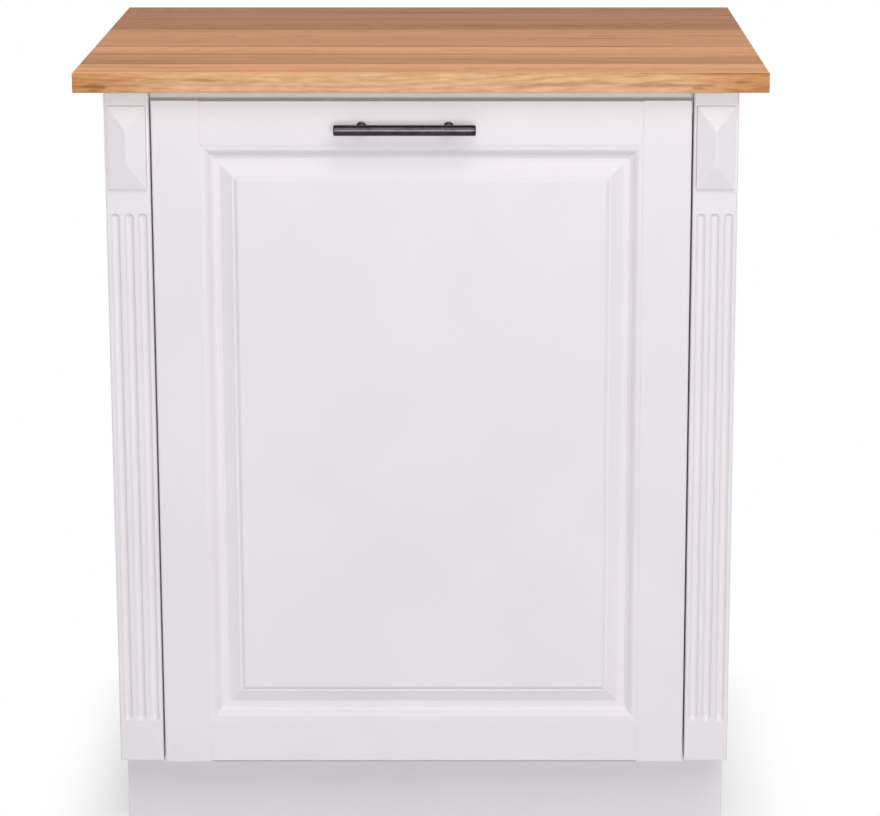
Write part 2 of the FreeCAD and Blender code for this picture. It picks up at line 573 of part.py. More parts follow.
def make_stile(hand, side):
    """Full-height stile; its section runs from the door's outer edge inwards."""
    label = f"door_stile_{hand}"
    body = new_body(label, f"{side} * {DOOR_HALF}", DOOR_FACE, "Dims.clear_height")
    corners, bends = frame_section("Dims.stile_flat")
    inwards = [(f"{-side} * ({across})", depth) for across, depth in corners]
    section = draw(body, label + "_section", "XY_Plane", inwards, bends, -side)
    pad(body, section, DOOR_HEIGHT)
    pilot = cylinder(body, label + "_pilot", (f"{side} * ({BIN_SCREW_X} - {DOOR_HALF})",
                     "Dims.door_thickness", f"{BIN_FOOT} + Dims.bin_screw_foot - Dims.clear_height"),
                     "-y", "Dims.bin_screw_radius + Dims.screw_clearance", "Dims.bin_screw_grip",
                     cut=True)
    repeat(body, pilot, "Z_Axis", BIN_SCREW_PITCH, "Dims.bin_screw_rows")
    return body


def make_rail(name, level, inwards, stiles):
    """Rail between the stiles. Its ends are coped: the blank reaches the bottom of the stile's
    groove and the stiles are cut out of it, so the mouldings meet in a mitre."""
    label = f"door_rail_{name}"
    blank = new_body(label + "_blank", f"-({DOOR_HALF} - {STILE_GROOVE})", DOOR_FACE, level)
    corners, bends = frame_section("Dims.rail_flat")
    outline = [(depth, f"{inwards} * ({across})") for across, depth in corners]
    section = draw(blank, label + "_section", "YZ_Plane", outline, bends, -inwards)
    pad(blank, section, f"2 * ({DOOR_HALF} - {STILE_GROOVE})")
    if name == "top":
        drill_handle_holes(blank)
    else:
        drill_rail_pilots(blank)
    return boolean("Cut", label, blank, stiles)


def drill_handle_holes(blank):
    """Two holes for the handle screws through the top rail."""
    hole = cylinder(blank, "handle_hole", (f"{DOOR_HALF} - {STILE_GROOVE} - Dims.bar_offset"
                    " - Dims.bar_post_pitch / 2", "0", "-Dims.bar_drop"), "+y",
                    "Dims.handle_screw_radius + Dims.screw_clearance", "Dims.door_thickness",
                    cut=True)
    repeat(blank, hole, "X_Axis", "Dims.bar_post_pitch", 2)


def drill_rail_pilots(blank):
    """Pilot holes for the screws of the two moving hinge leaves in the bottom rail's back."""
    hole = cylinder(blank, "rail_pilot", (f"{DOOR_HALF} - {STILE_GROOVE} - {HINGE_X}"
                    " - Dims.hinge_screw_pitch / 2", "Dims.door_thickness",
                    f"{LEAF_SCREW_Z} - {AXIS_DROP}"), "-y",
                    "Dims.hinge_screw_radius + Dims.screw_clearance", "Dims.hinge_screw_length",
                    cut=True)
    repeat(blank, hole, "X_Axis", "Dims.hinge_screw_pitch", 2, "X_Axis", f"2 * {HINGE_X}", 2)


def panel_section(half, flat):
    """Section of the raised panel as pairs (distance from the middle, depth from the face):
    edge in the groove, valley, bevel, narrow flat, step and field, the same on both sides."""
    lip = f"({half} - {flat} - {PROFILE})"
    edge = f"({lip} + Dims.groove_depth - Dims.panel_float)"
    bevel = f"({lip} - Dims.valley_width)"
    bead = f"({bevel} - Dims.bevel_width)"
    step = f"({bead} - Dims.bead_flat)"
    field = f"({step} - Dims.field_step)"
    rise = [(edge, "Dims.groove_front"), (bevel, "Dims.groove_front"), (bead, "Dims.bead_depth"),
            (step, "Dims.bead_depth"), (field, "Dims.field_depth")]
    back = "Dims.groove_front + Dims.groove_width"
    left = [(f"-{across}", depth) for across, depth in rise]
    return left + rise[::-1] + [(edge, back), (f"-{edge}", back)], edge


def make_panel():
    """Raised panel: the part common to a length that has the section from left to right and one
    that has it from bottom to top, so that the bevels meet in mitres."""
    upright, edge_z = panel_section(f"{DOOR_HEIGHT} / 2", "Dims.rail_flat")
    across, edge_x = panel_section(DOOR_HALF, "Dims.stile_flat")
    wide = new_body("panel_across", "0", DOOR_FACE, f"{DOOR_MIDDLE} - {edge_z}")
    pad(wide, draw(wide, "panel_across_section", "XY_Plane", across), f"2 * {edge_z}")
    tall = new_body("panel_upright", f"-{edge_x}", DOOR_FACE, DOOR_MIDDLE)
    swapped = [(depth, level) for level, depth in upright]
    pad(tall, draw(tall, "panel_upright_section", "YZ_Plane", swapped), f"2 * {edge_x}")
    return boolean("Common", "door_panel", wide, tall)


# ------------------------------------------------------------------------------------------- handle
def make_handle_bar():
    """Round bar with softly rounded ends, turned about its own axis."""
    body = new_body("handle_bar", "-Dims.bar_offset - Dims.bar_length / 2", BAR_Y, BAR_Z)
    radius, length, soft = "Dims.bar_radius", "Dims.bar_length", "Dims.bar_round"
    corners = [("0", "0"), (length, "0"), (length, f"{radius} - {soft}"),
               (f"{length} - {soft}", radius), (soft, radius), ("0", f"{radius} - {soft}")]
    section = draw(body, "bar_section", "XY_Plane", corners, {2: (soft, 1), 4: (soft, 1)})
    turned(body, section, "H_Axis")
    return body


def make_handle_post(hand, side):
    """Post from the door to the bar, with a collar on the door, a saddle that fits the bar and a
    screw hole up its middle."""
    label = f"handle_post_{hand}"
    body = new_body(label, f"-Dims.bar_offset + {side} * Dims.bar_post_pitch / 2", DOOR_FACE, BAR_Z)
    reach = "(Dims.bar_reach - Dims.bar_radius)"
    cylinder(body, label + "_shaft", HERE, "-y", "Dims.bar_post_radius", reach)
    cylinder(body, label + "_collar", HERE, "-y", "Dims.bar_collar_radius",
             "Dims.bar_collar_length")
    cylinder(body, label + "_saddle", ("-Dims.bar_radius", f"-{reach}", "0"), "+x",
             "Dims.bar_radius", "2 * Dims.bar_radius", cut=True)
    cylinder(body, label + "_hole", HERE, "-y",
             "Dims.handle_screw_radius + Dims.screw_clearance", "Dims.handle_screw_grip", cut=True)
    return body


def make_handle_screws():
    """The two screws that hold the handle, with their heads on the back of the door."""
    body = new_body("handle_screws", "-Dims.bar_offset - Dims.bar_post_pitch / 2", DOOR_BACK, BAR_Z)
    head = (cylinder, HERE, "+y", "Dims.handle_head_radius", "Dims.handle_head_height")
    shank = (cylinder, HERE, "-y", "Dims.handle_screw_radius",
             "Dims.door_thickness + Dims.handle_screw_grip")
    return screws(body, head, shank, "X_Axis", "Dims.bar_post_pitch", 2)


# ------------------------------------------------------------------------------------------- hinges
def make_leaf(label, x, facing, first, knuckles):
    """Hinge leaf about its own axis. facing is 1 for the fixed leaf behind the axis and -1 for
    the one on the door. Its plate starts above the other leaf's knuckles, and a short web joins
    it to its own ones."""
    body = new_body(label, f"{x} - Dims.hinge_length / 2", AXIS_Y, AXIS_Z)
    near = "Dims.leaf_space / 2" if facing > 0 else f"-{AXIS_SETBACK}"
    box(body, label + "_plate", ("0", near, AXIS_DROP),
        ("Dims.hinge_length", "Dims.leaf_thickness", "Dims.leaf_height"))
    start = f"({first} * {KNUCKLE_PITCH} + Dims.knuckle_gap / 2)"
    length = f"({KNUCKLE_PITCH} - Dims.knuckle_gap)"
    web = box(body, label + "_web", (start, near, "0"),
              (length, "Dims.leaf_thickness", AXIS_DROP))
    repeat(body, web, "X_Axis", f"2 * {KNUCKLE_PITCH}", knuckles)
    barrel = cylinder(body, label + "_barrel", (start, "0", "0"), "+x", "Dims.knuckle_radius", length)
    repeat(body, barrel, "X_Axis", f"2 * {KNUCKLE_PITCH}", knuckles)
    cylinder(body, label + "_bore", HERE, "+x",
             "Dims.pin_radius + Dims.pin_clearance", "Dims.hinge_length", cut=True)
    inner, towards = ("Dims.leaf_space / 2", "+y") if facing > 0 else ("-Dims.leaf_space / 2", "-y")
    sink = countersink(body, label + "_sink", ("(Dims.hinge_length - Dims.hinge_screw_pitch) / 2",
                       inner, LEAF_SCREW_Z), towards,
                       "Dims.hinge_head_radius + Dims.screw_clearance",
                       "Dims.hinge_screw_radius + Dims.screw_clearance", "Dims.leaf_thickness",
                       cut=True)
    repeat(body, sink, "X_Axis", "Dims.hinge_screw_pitch", 2)
    return body


def make_pin(hand, side):
    """Hinge pin with a head at its left end."""
    label = f"hinge_pin_{hand}"
    body = new_body(label, f"{side} * {HINGE_X} - Dims.hinge_length / 2", AXIS_Y, AXIS_Z)
    cylinder(body, label + "_shaft", HERE, "+x", "Dims.pin_radius", "Dims.hinge_length")
    cylinder(body, label + "_head", HERE, "-x", "Dims.pin_head_radius",
             "Dims.pin_head_length")
    return body


def make_hinge_screws(label, facing):
    """Flush screws of both leaves on one side of the axis, as a row of separate solids."""
    body = new_body(label, f"-{HINGE_X} - Dims.hinge_screw_pitch / 2",
                    f"{AXIS_Y} + {facing} * Dims.leaf_space / 2", f"{AXIS_Z} + {LEAF_SCREW_Z}")
    towards = "+y" if facing > 0 else "-y"
    head = (countersink, HERE, towards, "Dims.hinge_head_radius", "Dims.hinge_screw_radius",
            "Dims.leaf_thickness")
    shank = (cylinder, ("0", f"{facing} * Dims.leaf_thickness", "0"), towards,
             "Dims.hinge_screw_radius", "Dims.hinge_screw_length")
    return screws(body, head, shank, "X_Axis", "Dims.hinge_screw_pitch", 2, "X_Axis",
                  f"2 * {HINGE_X}", 2)


# -------------------------------------------------------------------------------------------- stays
def make_stay(hand, side):
    """Quadrant stay: a steel band round the hinge axis with a slot that runs along the stud, and
    a flange on the back of the stile. The slot's two ends are the stops of the tilt."""
    label = f"stay_{hand}"
    body = new_body(label, f"{side} * ({STAY_OUTER} - Dims.stay_thickness / 2)"
                    " - Dims.stay_thickness / 2", AXIS_Y, AXIS_Z)
    inner = "(Dims.stay_radius - Dims.stay_band / 2)"
    outer = "(Dims.stay_radius + Dims.stay_band / 2)"
    last = "(Dims.stay_lead + Dims.tilt_travel)"
    front = f"-{AXIS_SETBACK}"
    corners = [(front, f"sqrt({inner} ^ 2 - {AXIS_SETBACK} ^ 2)"), polar(inner, last),
               tip("Dims.stay_radius", last, "Dims.stay_band / 2"), polar(outer, last),
               (front, f"sqrt({outer} ^ 2 - {AXIS_SETBACK} ^ 2)")]
    bends = {0: (inner, -1), 1: ("Dims.stay_band / 2", 1), 2: ("Dims.stay_band / 2", 1),
             3: (outer, 1)}
    pad(body, draw(body, label + "_outline", "YZ_Plane", corners, bends), "Dims.stay_thickness")
    flange_x = "0" if side < 0 else "Dims.stay_thickness - Dims.stay_flange"
    box(body, label + "_flange", (flange_x, front, f"{inner} - Dims.stay_flange_tail"),
        ("Dims.stay_flange", "Dims.stay_thickness", "Dims.stay_band + Dims.stay_flange_tail"))

    half = "(Dims.stud_radius + Dims.slot_clearance)"
    near, far = f"(Dims.stay_radius - {half})", f"(Dims.stay_radius + {half})"
    slot = [polar(near, "Dims.stay_lead"), polar(near, last), tip("Dims.stay_radius", last, half),
            polar(far, last), polar(far, "Dims.stay_lead"),
            tip("Dims.stay_radius", "Dims.stay_lead", f"-{half}")]
    turns = {0: (near, -1), 1: (half, 1), 2: (half, 1), 3: (far, 1), 4: (half, 1), 5: (half, 1)}
    pocket = body.newObject("PartDesign::Pocket", label + "_slot")
    pocket.Profile = draw(body, label + "_slot_outline", "YZ_Plane", slot, turns)
    pocket.Reversed = True
    bind(pocket, Length="Dims.stay_thickness")
    return body


def tip(radius, angle, reach):
    """The end point of a round cap: on the arc of that radius, moved along it by reach."""
    y, z = polar(radius, angle)
    return (f"{y} + ({reach}) * cos({angle})", f"{z} - ({reach}) * sin({angle})")


def make_stud(hand, side):
    """Shouldered stop stud in the post: head, shoulder through the slot and screwed shank."""
    label = f"stop_stud_{hand}"
    stud_y, stud_z = polar("Dims.stay_radius", "Dims.stay_lead")
    inner = f"({STAY_OUTER} - Dims.stay_thickness - Dims.stud_play)"
    body = new_body(label, f"{side} * {inner}", f"{AXIS_Y} + {stud_y}", f"{AXIS_Z} + {stud_z}")
    inward, outward = ("+x", "-x") if side < 0 else ("-x", "+x")
    shoulder = f"({POST_INNER} - {inner})"
    cylinder(body, label + "_head", HERE, inward, "Dims.stud_head_radius",
             "Dims.stud_head_height")
    cylinder(body, label + "_shoulder", HERE, outward, "Dims.stud_radius", shoulder)
    cylinder(body, label + "_shank", (f"{side} * {shoulder}", "0", "0"), outward,
             "Dims.stud_shank_radius", "Dims.stud_shank_length")
    return body


# ---------------------------------------------------------------------------------------------- bin
def make_bin_sector(label, x, thickness, foot, back, arc):
    """Bin side or divider about the hinge axis: upright front and back edges, level foot and a
    top rounded about the axis, so that it swings clear of the front rail."""
    body = new_body(label, x, AXIS_Y, AXIS_Z)
    front = BIN_FRONT_Y
    corners = [(front, foot), (back, foot), (back, f"sqrt({arc} ^ 2 - ({back}) ^ 2)"),
               (front, f"sqrt({arc} ^ 2 - ({front}) ^ 2)")]
    pad(body, draw(body, label + "_outline", "YZ_Plane", corners, {2: (arc, 1)}), thickness)
    return body


def make_bin_side(hand, side):
    """Bin side with rows of air holes."""
    label = f"bin_side_{hand}"
    x = f"-{BIN_HALF}" if side < 0 else BIN_INSIDE
    body = make_bin_sector(label, x, "Dims.bin_side_thickness", BIN_FOOT_Z, BIN_BACK_Y, BIN_ARC)
    hole = cylinder(body, label + "_vent", ("0", f"{BIN_FRONT_Y} + Dims.vent_margin",
                    f"{BIN_FOOT_Z} + Dims.vent_margin"), "+x",
                    "Dims.vent_radius", "Dims.bin_side_thickness", cut=True)
    repeat(body, hole, "Y_Axis", "Dims.vent_pitch", "Dims.vent_side_columns",
           "Z_Axis", "Dims.vent_pitch", "Dims.vent_side_rows")
    return body


def make_divider():
    """Divider that stands on the bin's bottom, between its front and its back."""
    return make_bin_sector("bin_divider", "-Dims.bin_panel_thickness / 2",
                           "Dims.bin_panel_thickness", f"({BIN_FOOT_Z} + Dims.bin_panel_thickness)",
                           f"({BIN_BACK_Y} - Dims.bin_panel_thickness)",
                           f"({BIN_ARC} - Dims.divider_drop)")


def make_bin_front():
    """Bin front against the back of the stiles and rails, with holes for its eight screws."""
    body = board("bin_front", f"-{BIN_HALF}", DOOR_BACK, BIN_FOOT, f"2 * {BIN_HALF}",
                 "Dims.bin_panel_thickness", BIN_FRONT_HEIGHT)
    hole = cylinder(body, "bin_front_hole", (f"{BIN_HALF} - {BIN_SCREW_X}", "0",
                    "Dims.bin_screw_foot"), "+y", "Dims.bin_screw_radius + Dims.screw_clearance",
                    "Dims.bin_panel_thickness", cut=True)
    repeat(body, hole, "X_Axis", f"2 * {BIN_SCREW_X}", 2,
           "Z_Axis", BIN_SCREW_PITCH, "Dims.bin_screw_rows")
    return body


def make_bin_back():
    """Bin back between the bin sides, with rows of air holes."""
    body = board("bin_back", f"-{BIN_INSIDE}", f"{DOOR_BACK} + Dims.bin_depth"
                 " - Dims.bin_panel_thickness", BIN_FOOT, f"2 * {BIN_INSIDE}",
                 "Dims.bin_panel_thickness", BIN_BACK_HEIGHT)
    hole = cylinder(body, "bin_back_vent", (VENT_START, "0", "Dims.vent_margin"), "+y",
                    "Dims.vent_radius", "Dims.bin_panel_thickness", cut=True)
    repeat(body, hole, "X_Axis", "Dims.vent_pitch", VENT_COLUMNS,
           "Z_Axis", "Dims.vent_pitch", "Dims.vent_back_rows")
    return body


def make_bin_bottom():
    """Bin bottom between the bin's four walls, with rows of air holes."""
    depth = "(Dims.bin_depth - 2 * Dims.bin_panel_thickness)"
    body = board("bin_bottom", f"-{BIN_INSIDE}", f"{DOOR_BACK} + Dims.bin_panel_thickness",
                 BIN_FOOT, f"2 * {BIN_INSIDE}", depth, "Dims.bin_panel_thickness")
    hole = cylinder(body, "bin_bottom_vent", (VENT_START, "Dims.vent_margin", "0"), "+z",
                    "Dims.vent_radius", "Dims.bin_panel_thickness", cut=True)
    repeat(body, hole, "X_Axis", "Dims.vent_pitch", VENT_COLUMNS,
           "Y_Axis", "Dims.vent_pitch", "Dims.vent_bottom_rows")
    return body


def make_bin_screws():
    """Screws from inside the bin through its front into the stiles, as separate solids."""
    body = new_body("bin_screws", f"-{BIN_SCREW_X}", f"{DOOR_BACK} + Dims.bin_panel_thickness",
                    f"{BIN_FOOT} + Dims.bin_screw_foot")
    head = (cylinder, HERE, "+y", "Dims.bin_head_radius", "Dims.bin_head_height")
    shank = (cylinder, HERE, "-y", "Dims.bin_screw_radius",
             "Dims.bin_panel_thickness + Dims.bin_screw_grip")
    return screws(body, head, shank, "X_Axis", f"2 * {BIN_SCREW_X}", 2,
                  "Z_Axis", BIN_SCREW_PITCH, "Dims.bin_screw_rows")


# ------------------------------------------------------------------------- catches and worktop fixings
def make_front_rail():
    """Front rail between the posts, with holes for the worktop screws."""
    body = board("front_rail", f"-{POST_INNER}", RAIL_FRONT, RAIL_FOOT, f"2 * {POST_INNER}",
                 "Dims.front_rail_depth", "Dims.front_rail_height")
    hole = cylinder(body, "rail_screw_hole", (f"{POST_INNER} - Dims.top_screw_pitch",
                    "Dims.front_rail_depth / 2", "0"), "+z",
                    "Dims.top_screw_radius + Dims.screw_clearance", "Dims.front_rail_height",
                    cut=True)
    repeat(body, hole, "X_Axis", "Dims.top_screw_pitch", 3)
    return body


def make_top_screws():
    """Screws up through the front rail into the worktop, as separate solids."""
    body = new_body("worktop_screws", "-Dims.top_screw_pitch",
                    f"{RAIL_FRONT} + Dims.front_rail_depth / 2", RAIL_FOOT)
    head = (cylinder, HERE, "-z", "Dims.bin_head_radius", "Dims.bin_head_height")
    shank = (cylinder, HERE, "+z", "Dims.top_screw_radius",
             "Dims.front_rail_height + Dims.top_screw_grip")
    return screws(body, head, shank, "X_Axis", "Dims.top_screw_pitch", 3)


def make_angles():
    """Steel angles between the rear rail and the worktop, as separate solids."""
    body = new_body("worktop_angles", "-Dims.wall_hole_pitch / 2 + Dims.angle_inset",
                    f"{BACK_FRONT} - Dims.board_thickness", CARCASS_TOP)
    pitch = "Dims.wall_hole_pitch - 2 * Dims.angle_inset - Dims.angle_width"
    upright = box(body, "angle_upright", ("0", "-Dims.angle_thickness", "-Dims.angle_leg"),
                  ("Dims.angle_width", "Dims.angle_thickness", "Dims.angle_leg"))
    repeat(body, upright, "X_Axis", pitch, 2)
    level = box(body, "angle_level", ("0", "-Dims.angle_leg", "-Dims.angle_thickness"),
                ("Dims.angle_width", "Dims.angle_leg", "Dims.angle_thickness"))
    repeat(body, level, "X_Axis", pitch, 2)
    return body


def make_catch(hand, side):
    """Magnetic catch under the front rail: housing with an ear at each end."""
    label = f"catch_{hand}"
    body = new_body(label, f"{side} * Dims.catch_pitch / 2",
                    f"{DOOR_BACK} + Dims.strike_thickness + Dims.closed_gap", RAIL_FOOT)
    housing = "(Dims.catch_length - 2 * Dims.catch_ear)"
    box(body, label + "_housing", (f"-{housing} / 2", "0", "-Dims.catch_height"),
        (housing, "Dims.catch_depth", "Dims.catch_height"))
    box(body, label + "_ears", ("-Dims.catch_length / 2", "Dims.catch_depth / 2 - Dims.catch_ear / 2",
        "-Dims.catch_ear_height"), ("Dims.catch_length", "Dims.catch_ear", "Dims.catch_ear_height"))
    return body


def make_strike(hand, side):
    """Steel strike plate on the back of the top rail, opposite the catch."""
    return board(f"strike_{hand}", f"{side} * Dims.catch_pitch / 2 - Dims.strike_length / 2",
                 DOOR_BACK, f"{RAIL_FOOT} - Dims.catch_height / 2 - Dims.strike_height / 2",
                 "Dims.strike_length", "Dims.strike_thickness", "Dims.strike_height")


def make_bumpers():
    """Rubber bumpers on the front rail, halfway between its foot and the top of the door."""
    body = new_body("door_bumpers", f"-{BUMPER_X}", RAIL_FRONT,
                    f"({RAIL_FOOT} + {DOOR_TOP}) / 2")
    bumper = cylinder(body, "bumper", HERE, "-y", "Dims.bumper_radius",
                      "Dims.rail_relief - Dims.closed_gap")
    repeat(body, bumper, "X_Axis", f"2 * {BUMPER_X}", 2)
    return body


# --------------------------------------------------------------------------------- legs and plinth
LEG_ROWS = {"front": "Dims.leg_front_inset", "rear": "(Dims.carcass_depth - Dims.leg_rear_inset)"}
LEGS = tuple((f"{row}_{hand}", side, setback) for row, setback in LEG_ROWS.items()
             for hand, side in SIDES)


def make_socket(place, side, setback):
    """Leg socket under the bottom board: flange, tube and blind bore for the foot's stem."""
    label = f"leg_socket_{place}"
    body = new_body(label, f"{side} * {LEG_X}", f"{FACE} + {setback}", "Dims.tube_foot")
    tube = "(Dims.clear_height - Dims.tube_foot)"
    cylinder(body, label + "_tube", HERE, "+z", "Dims.tube_radius", tube)
    cylinder(body, label + "_flange", ("0", "0", tube), "-z", "Dims.socket_radius",
             "Dims.socket_thickness")
    cylinder(body, label + "_bore", HERE, "+z",
             "Dims.foot_stem_radius + Dims.foot_clearance",
             "Dims.foot_stem_length + Dims.socket_relief", cut=True)
    return body


def make_foot(place, side, setback):
    """Adjustable foot: pad on the floor, knurled ring and stem in the tube."""
    label = f"foot_{place}"
    body = new_body(label, f"{side} * {LEG_X}", f"{FACE} + {setback}")
    ring_top = "(Dims.tube_foot - Dims.closed_gap)"
    cylinder(body, label + "_pad", HERE, "+z", "Dims.foot_radius", "Dims.foot_height")
    cylinder(body, label + "_ring", HERE, "+z", "Dims.foot_neck_radius", ring_top)
    cylinder(body, label + "_stem", ("0", "0", ring_top), "+z", "Dims.foot_stem_radius",
             "Dims.foot_stem_length")
    return body


def make_plinth():
    """Plinth board between the floor and the carcass, set back from the pilasters."""
    return board("plinth_board", f"-{HALF_BODY}", f"{FACE} + Dims.plinth_setback",
                 "Dims.plinth_floor_gap", "Dims.body_width", "Dims.plinth_thickness",
                 "Dims.clear_height - Dims.plinth_floor_gap - Dims.plinth_top_gap")


def make_clip(hand, side):
    """Plinth clip: an arm on the back of the plinth and a ring, open at the back, that snaps
    round the tube of a front leg."""
    label = f"plinth_clip_{hand}"
    body = new_body(label, f"{side} * {LEG_X}", f"{FACE} + Dims.leg_front_inset",
                    "Dims.clip_level")
    ring = "(Dims.tube_radius + Dims.clip_wall)"
    reach = "(Dims.leg_front_inset - Dims.plinth_setback - Dims.plinth_thickness)"
    cylinder(body, label + "_ring", HERE, "+z", ring, "Dims.clip_height")
    box(body, label + "_arm", ("-Dims.clip_mouth / 2", f"-{reach}", "0"),
        ("Dims.clip_mouth", reach, "Dims.clip_height"))
    cylinder(body, label + "_hole", HERE, "+z", "Dims.tube_radius + Dims.screw_clearance",
             "Dims.clip_height", cut=True)
    box(body, label + "_mouth", ("-Dims.clip_mouth / 2", "0", "0"),
        ("Dims.clip_mouth", ring, "Dims.clip_height"), cut=True)
    return body


# ------------------------------------------------------------------------------------------ assembly
def make_cabinet():
    """Every sub-part, in the order in which the cabinet is put together."""
    parts = [make_worktop(), make_bottom_board(), make_front_rail(), make_rear_rail(), make_back(),
             make_plinth(), make_angles(), make_top_screws(), make_bumpers()]
    for makers in (make_side, make_post, make_pilaster, make_block, make_stud, make_pin,
                   make_catch, make_clip):
        parts += [makers(hand, side) for hand, side in SIDES]
    parts += [make_leaf(f"hinge_leaf_fixed_{hand}", f"{side} * {HINGE_X}", 1, 0,
                        "floor((Dims.knuckle_count + 1) / 2)") for hand, side in SIDES]
    parts.append(make_hinge_screws("hinge_screws_fixed", 1))
    for place, side, setback in LEGS:
        parts += [make_socket(place, side, setback), make_foot(place, side, setback)]
    return parts


def make_tilting_front():
    """Every sub-part that tilts: the raised-panel front, its handle, the bin and the stays."""
    stiles = [make_stile(hand, side) for hand, side in SIDES]
    both = doc.addObject("Part::Compound", "stiles")
    both.Links = stiles
    parts = stiles + [make_rail("top", DOOR_TOP, -1, both),
                      make_rail("bottom", "Dims.clear_height", 1, both), make_panel()]
    parts += [make_handle_bar(), make_handle_screws()]
    for makers in (make_handle_post, make_stay, make_bin_side, make_strike):
        parts += [makers(hand, side) for hand, side in SIDES]
    parts += [make_leaf(f"hinge_leaf_door_{hand}", f"{side} * {HINGE_X}", -1, 1,
                        "floor(Dims.knuckle_count / 2)") for hand, side in SIDES]
    parts.append(make_hinge_screws("hinge_screws_door", -1))
    parts += [make_bin_front(), make_bin_back(), make_bin_bottom(), make_divider(),
              make_bin_screws()]
    return parts


parts = make_cabinet() + make_tilting_front()
doc.recompute()
for item in doc.Objects:
    if any(word in state for state in item.State for word in ("Invalid", "Error")):
        raise RuntimeError(f"{item.Label} failed: {item.State}")
for part in parts:
    if part.Shape.isNull() or not part.Shape.isValid() or not part.Shape.Solids:
        raise RuntimeError(f"{part.Label} has no valid shape")

os.makedirs("parts", exist_ok=True)
for part in parts:
    part.Shape.exportStep(f"parts/{part.Label}.step")
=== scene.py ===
"""Looks of the tilt-out bin cabinet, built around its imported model.

Lengths are metres in the model's own frame: +Z up, -Y the front, x = 0 in the middle.
"""
import json
import logging
import math
from abc import ABC, abstractmethod
from dataclasses import dataclass
from enum import Enum

import bmesh
import bpy
import numpy as np
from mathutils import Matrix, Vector

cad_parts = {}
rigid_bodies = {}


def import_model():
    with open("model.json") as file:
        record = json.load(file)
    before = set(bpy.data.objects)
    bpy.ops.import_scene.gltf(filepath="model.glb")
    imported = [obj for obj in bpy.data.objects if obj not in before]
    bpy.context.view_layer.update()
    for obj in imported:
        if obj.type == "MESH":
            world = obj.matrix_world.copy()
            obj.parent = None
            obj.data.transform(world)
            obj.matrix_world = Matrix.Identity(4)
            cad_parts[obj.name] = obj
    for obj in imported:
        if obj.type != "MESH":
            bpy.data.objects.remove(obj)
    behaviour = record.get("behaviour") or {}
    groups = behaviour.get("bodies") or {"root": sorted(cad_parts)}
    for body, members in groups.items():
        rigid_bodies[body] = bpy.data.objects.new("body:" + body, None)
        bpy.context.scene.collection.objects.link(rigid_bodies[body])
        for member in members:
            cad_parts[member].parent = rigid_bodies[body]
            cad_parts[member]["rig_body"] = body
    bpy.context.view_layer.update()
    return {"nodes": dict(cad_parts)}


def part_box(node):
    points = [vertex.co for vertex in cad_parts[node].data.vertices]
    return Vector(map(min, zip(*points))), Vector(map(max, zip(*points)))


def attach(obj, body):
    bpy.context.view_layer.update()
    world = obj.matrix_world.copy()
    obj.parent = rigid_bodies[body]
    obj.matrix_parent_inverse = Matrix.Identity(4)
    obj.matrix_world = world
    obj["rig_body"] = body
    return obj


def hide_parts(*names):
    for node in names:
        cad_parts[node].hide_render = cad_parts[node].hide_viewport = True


LOG = logging.getLogger("cabinet")
MM = 0.001
Colour = tuple[float, float, float, float]


class Body(Enum):
    """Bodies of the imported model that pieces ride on."""

    CABINET = "cabinet"
    FRONT = "tilting_front"


class Slot(Enum):
    """Material slots of the record."""

    OAK = "oak"
    PAINT = "white_paint"
    BOARD = "white_board"
    HARDBOARD = "hardboard"
    PLY = "birch_ply"
    DARK_METAL = "dark_metal"
    STEEL = "steel"
    PLASTIC = "black_plastic"
    RUBBER = "rubber"


class Axis(Enum):
    """Axes of the frame, with their index."""

    X = 0
    Y = 1
    Z = 2


SIDES = (("left", -1), ("right", 1))
FEET = ("front_left", "front_right", "rear_left", "rear_right")
WHITE = (1.0, 1.0, 1.0, 1.0)
TINY = 1e-12  # keeps a division by a length finite
EASING = np.array([1, 0.3, 0])  # shares of the easing by which an end's rows keep off a face


def srgb(red: int, green: int, blue: int) -> Colour:
    """Linear colour of an 8-bit screen colour.

    Args:
        red: Red from 0 to 255.
        green: Green from 0 to 255.
        blue: Blue from 0 to 255.

    Returns:
        The four numbers that a colour socket takes.
    """
    share = np.array([red, green, blue]) / 255
    linear = np.where(share <= 0.04045, share / 12.92, ((share + 0.055) / 1.055) ** 2.4)
    return (*(float(value) for value in linear), 1.0)


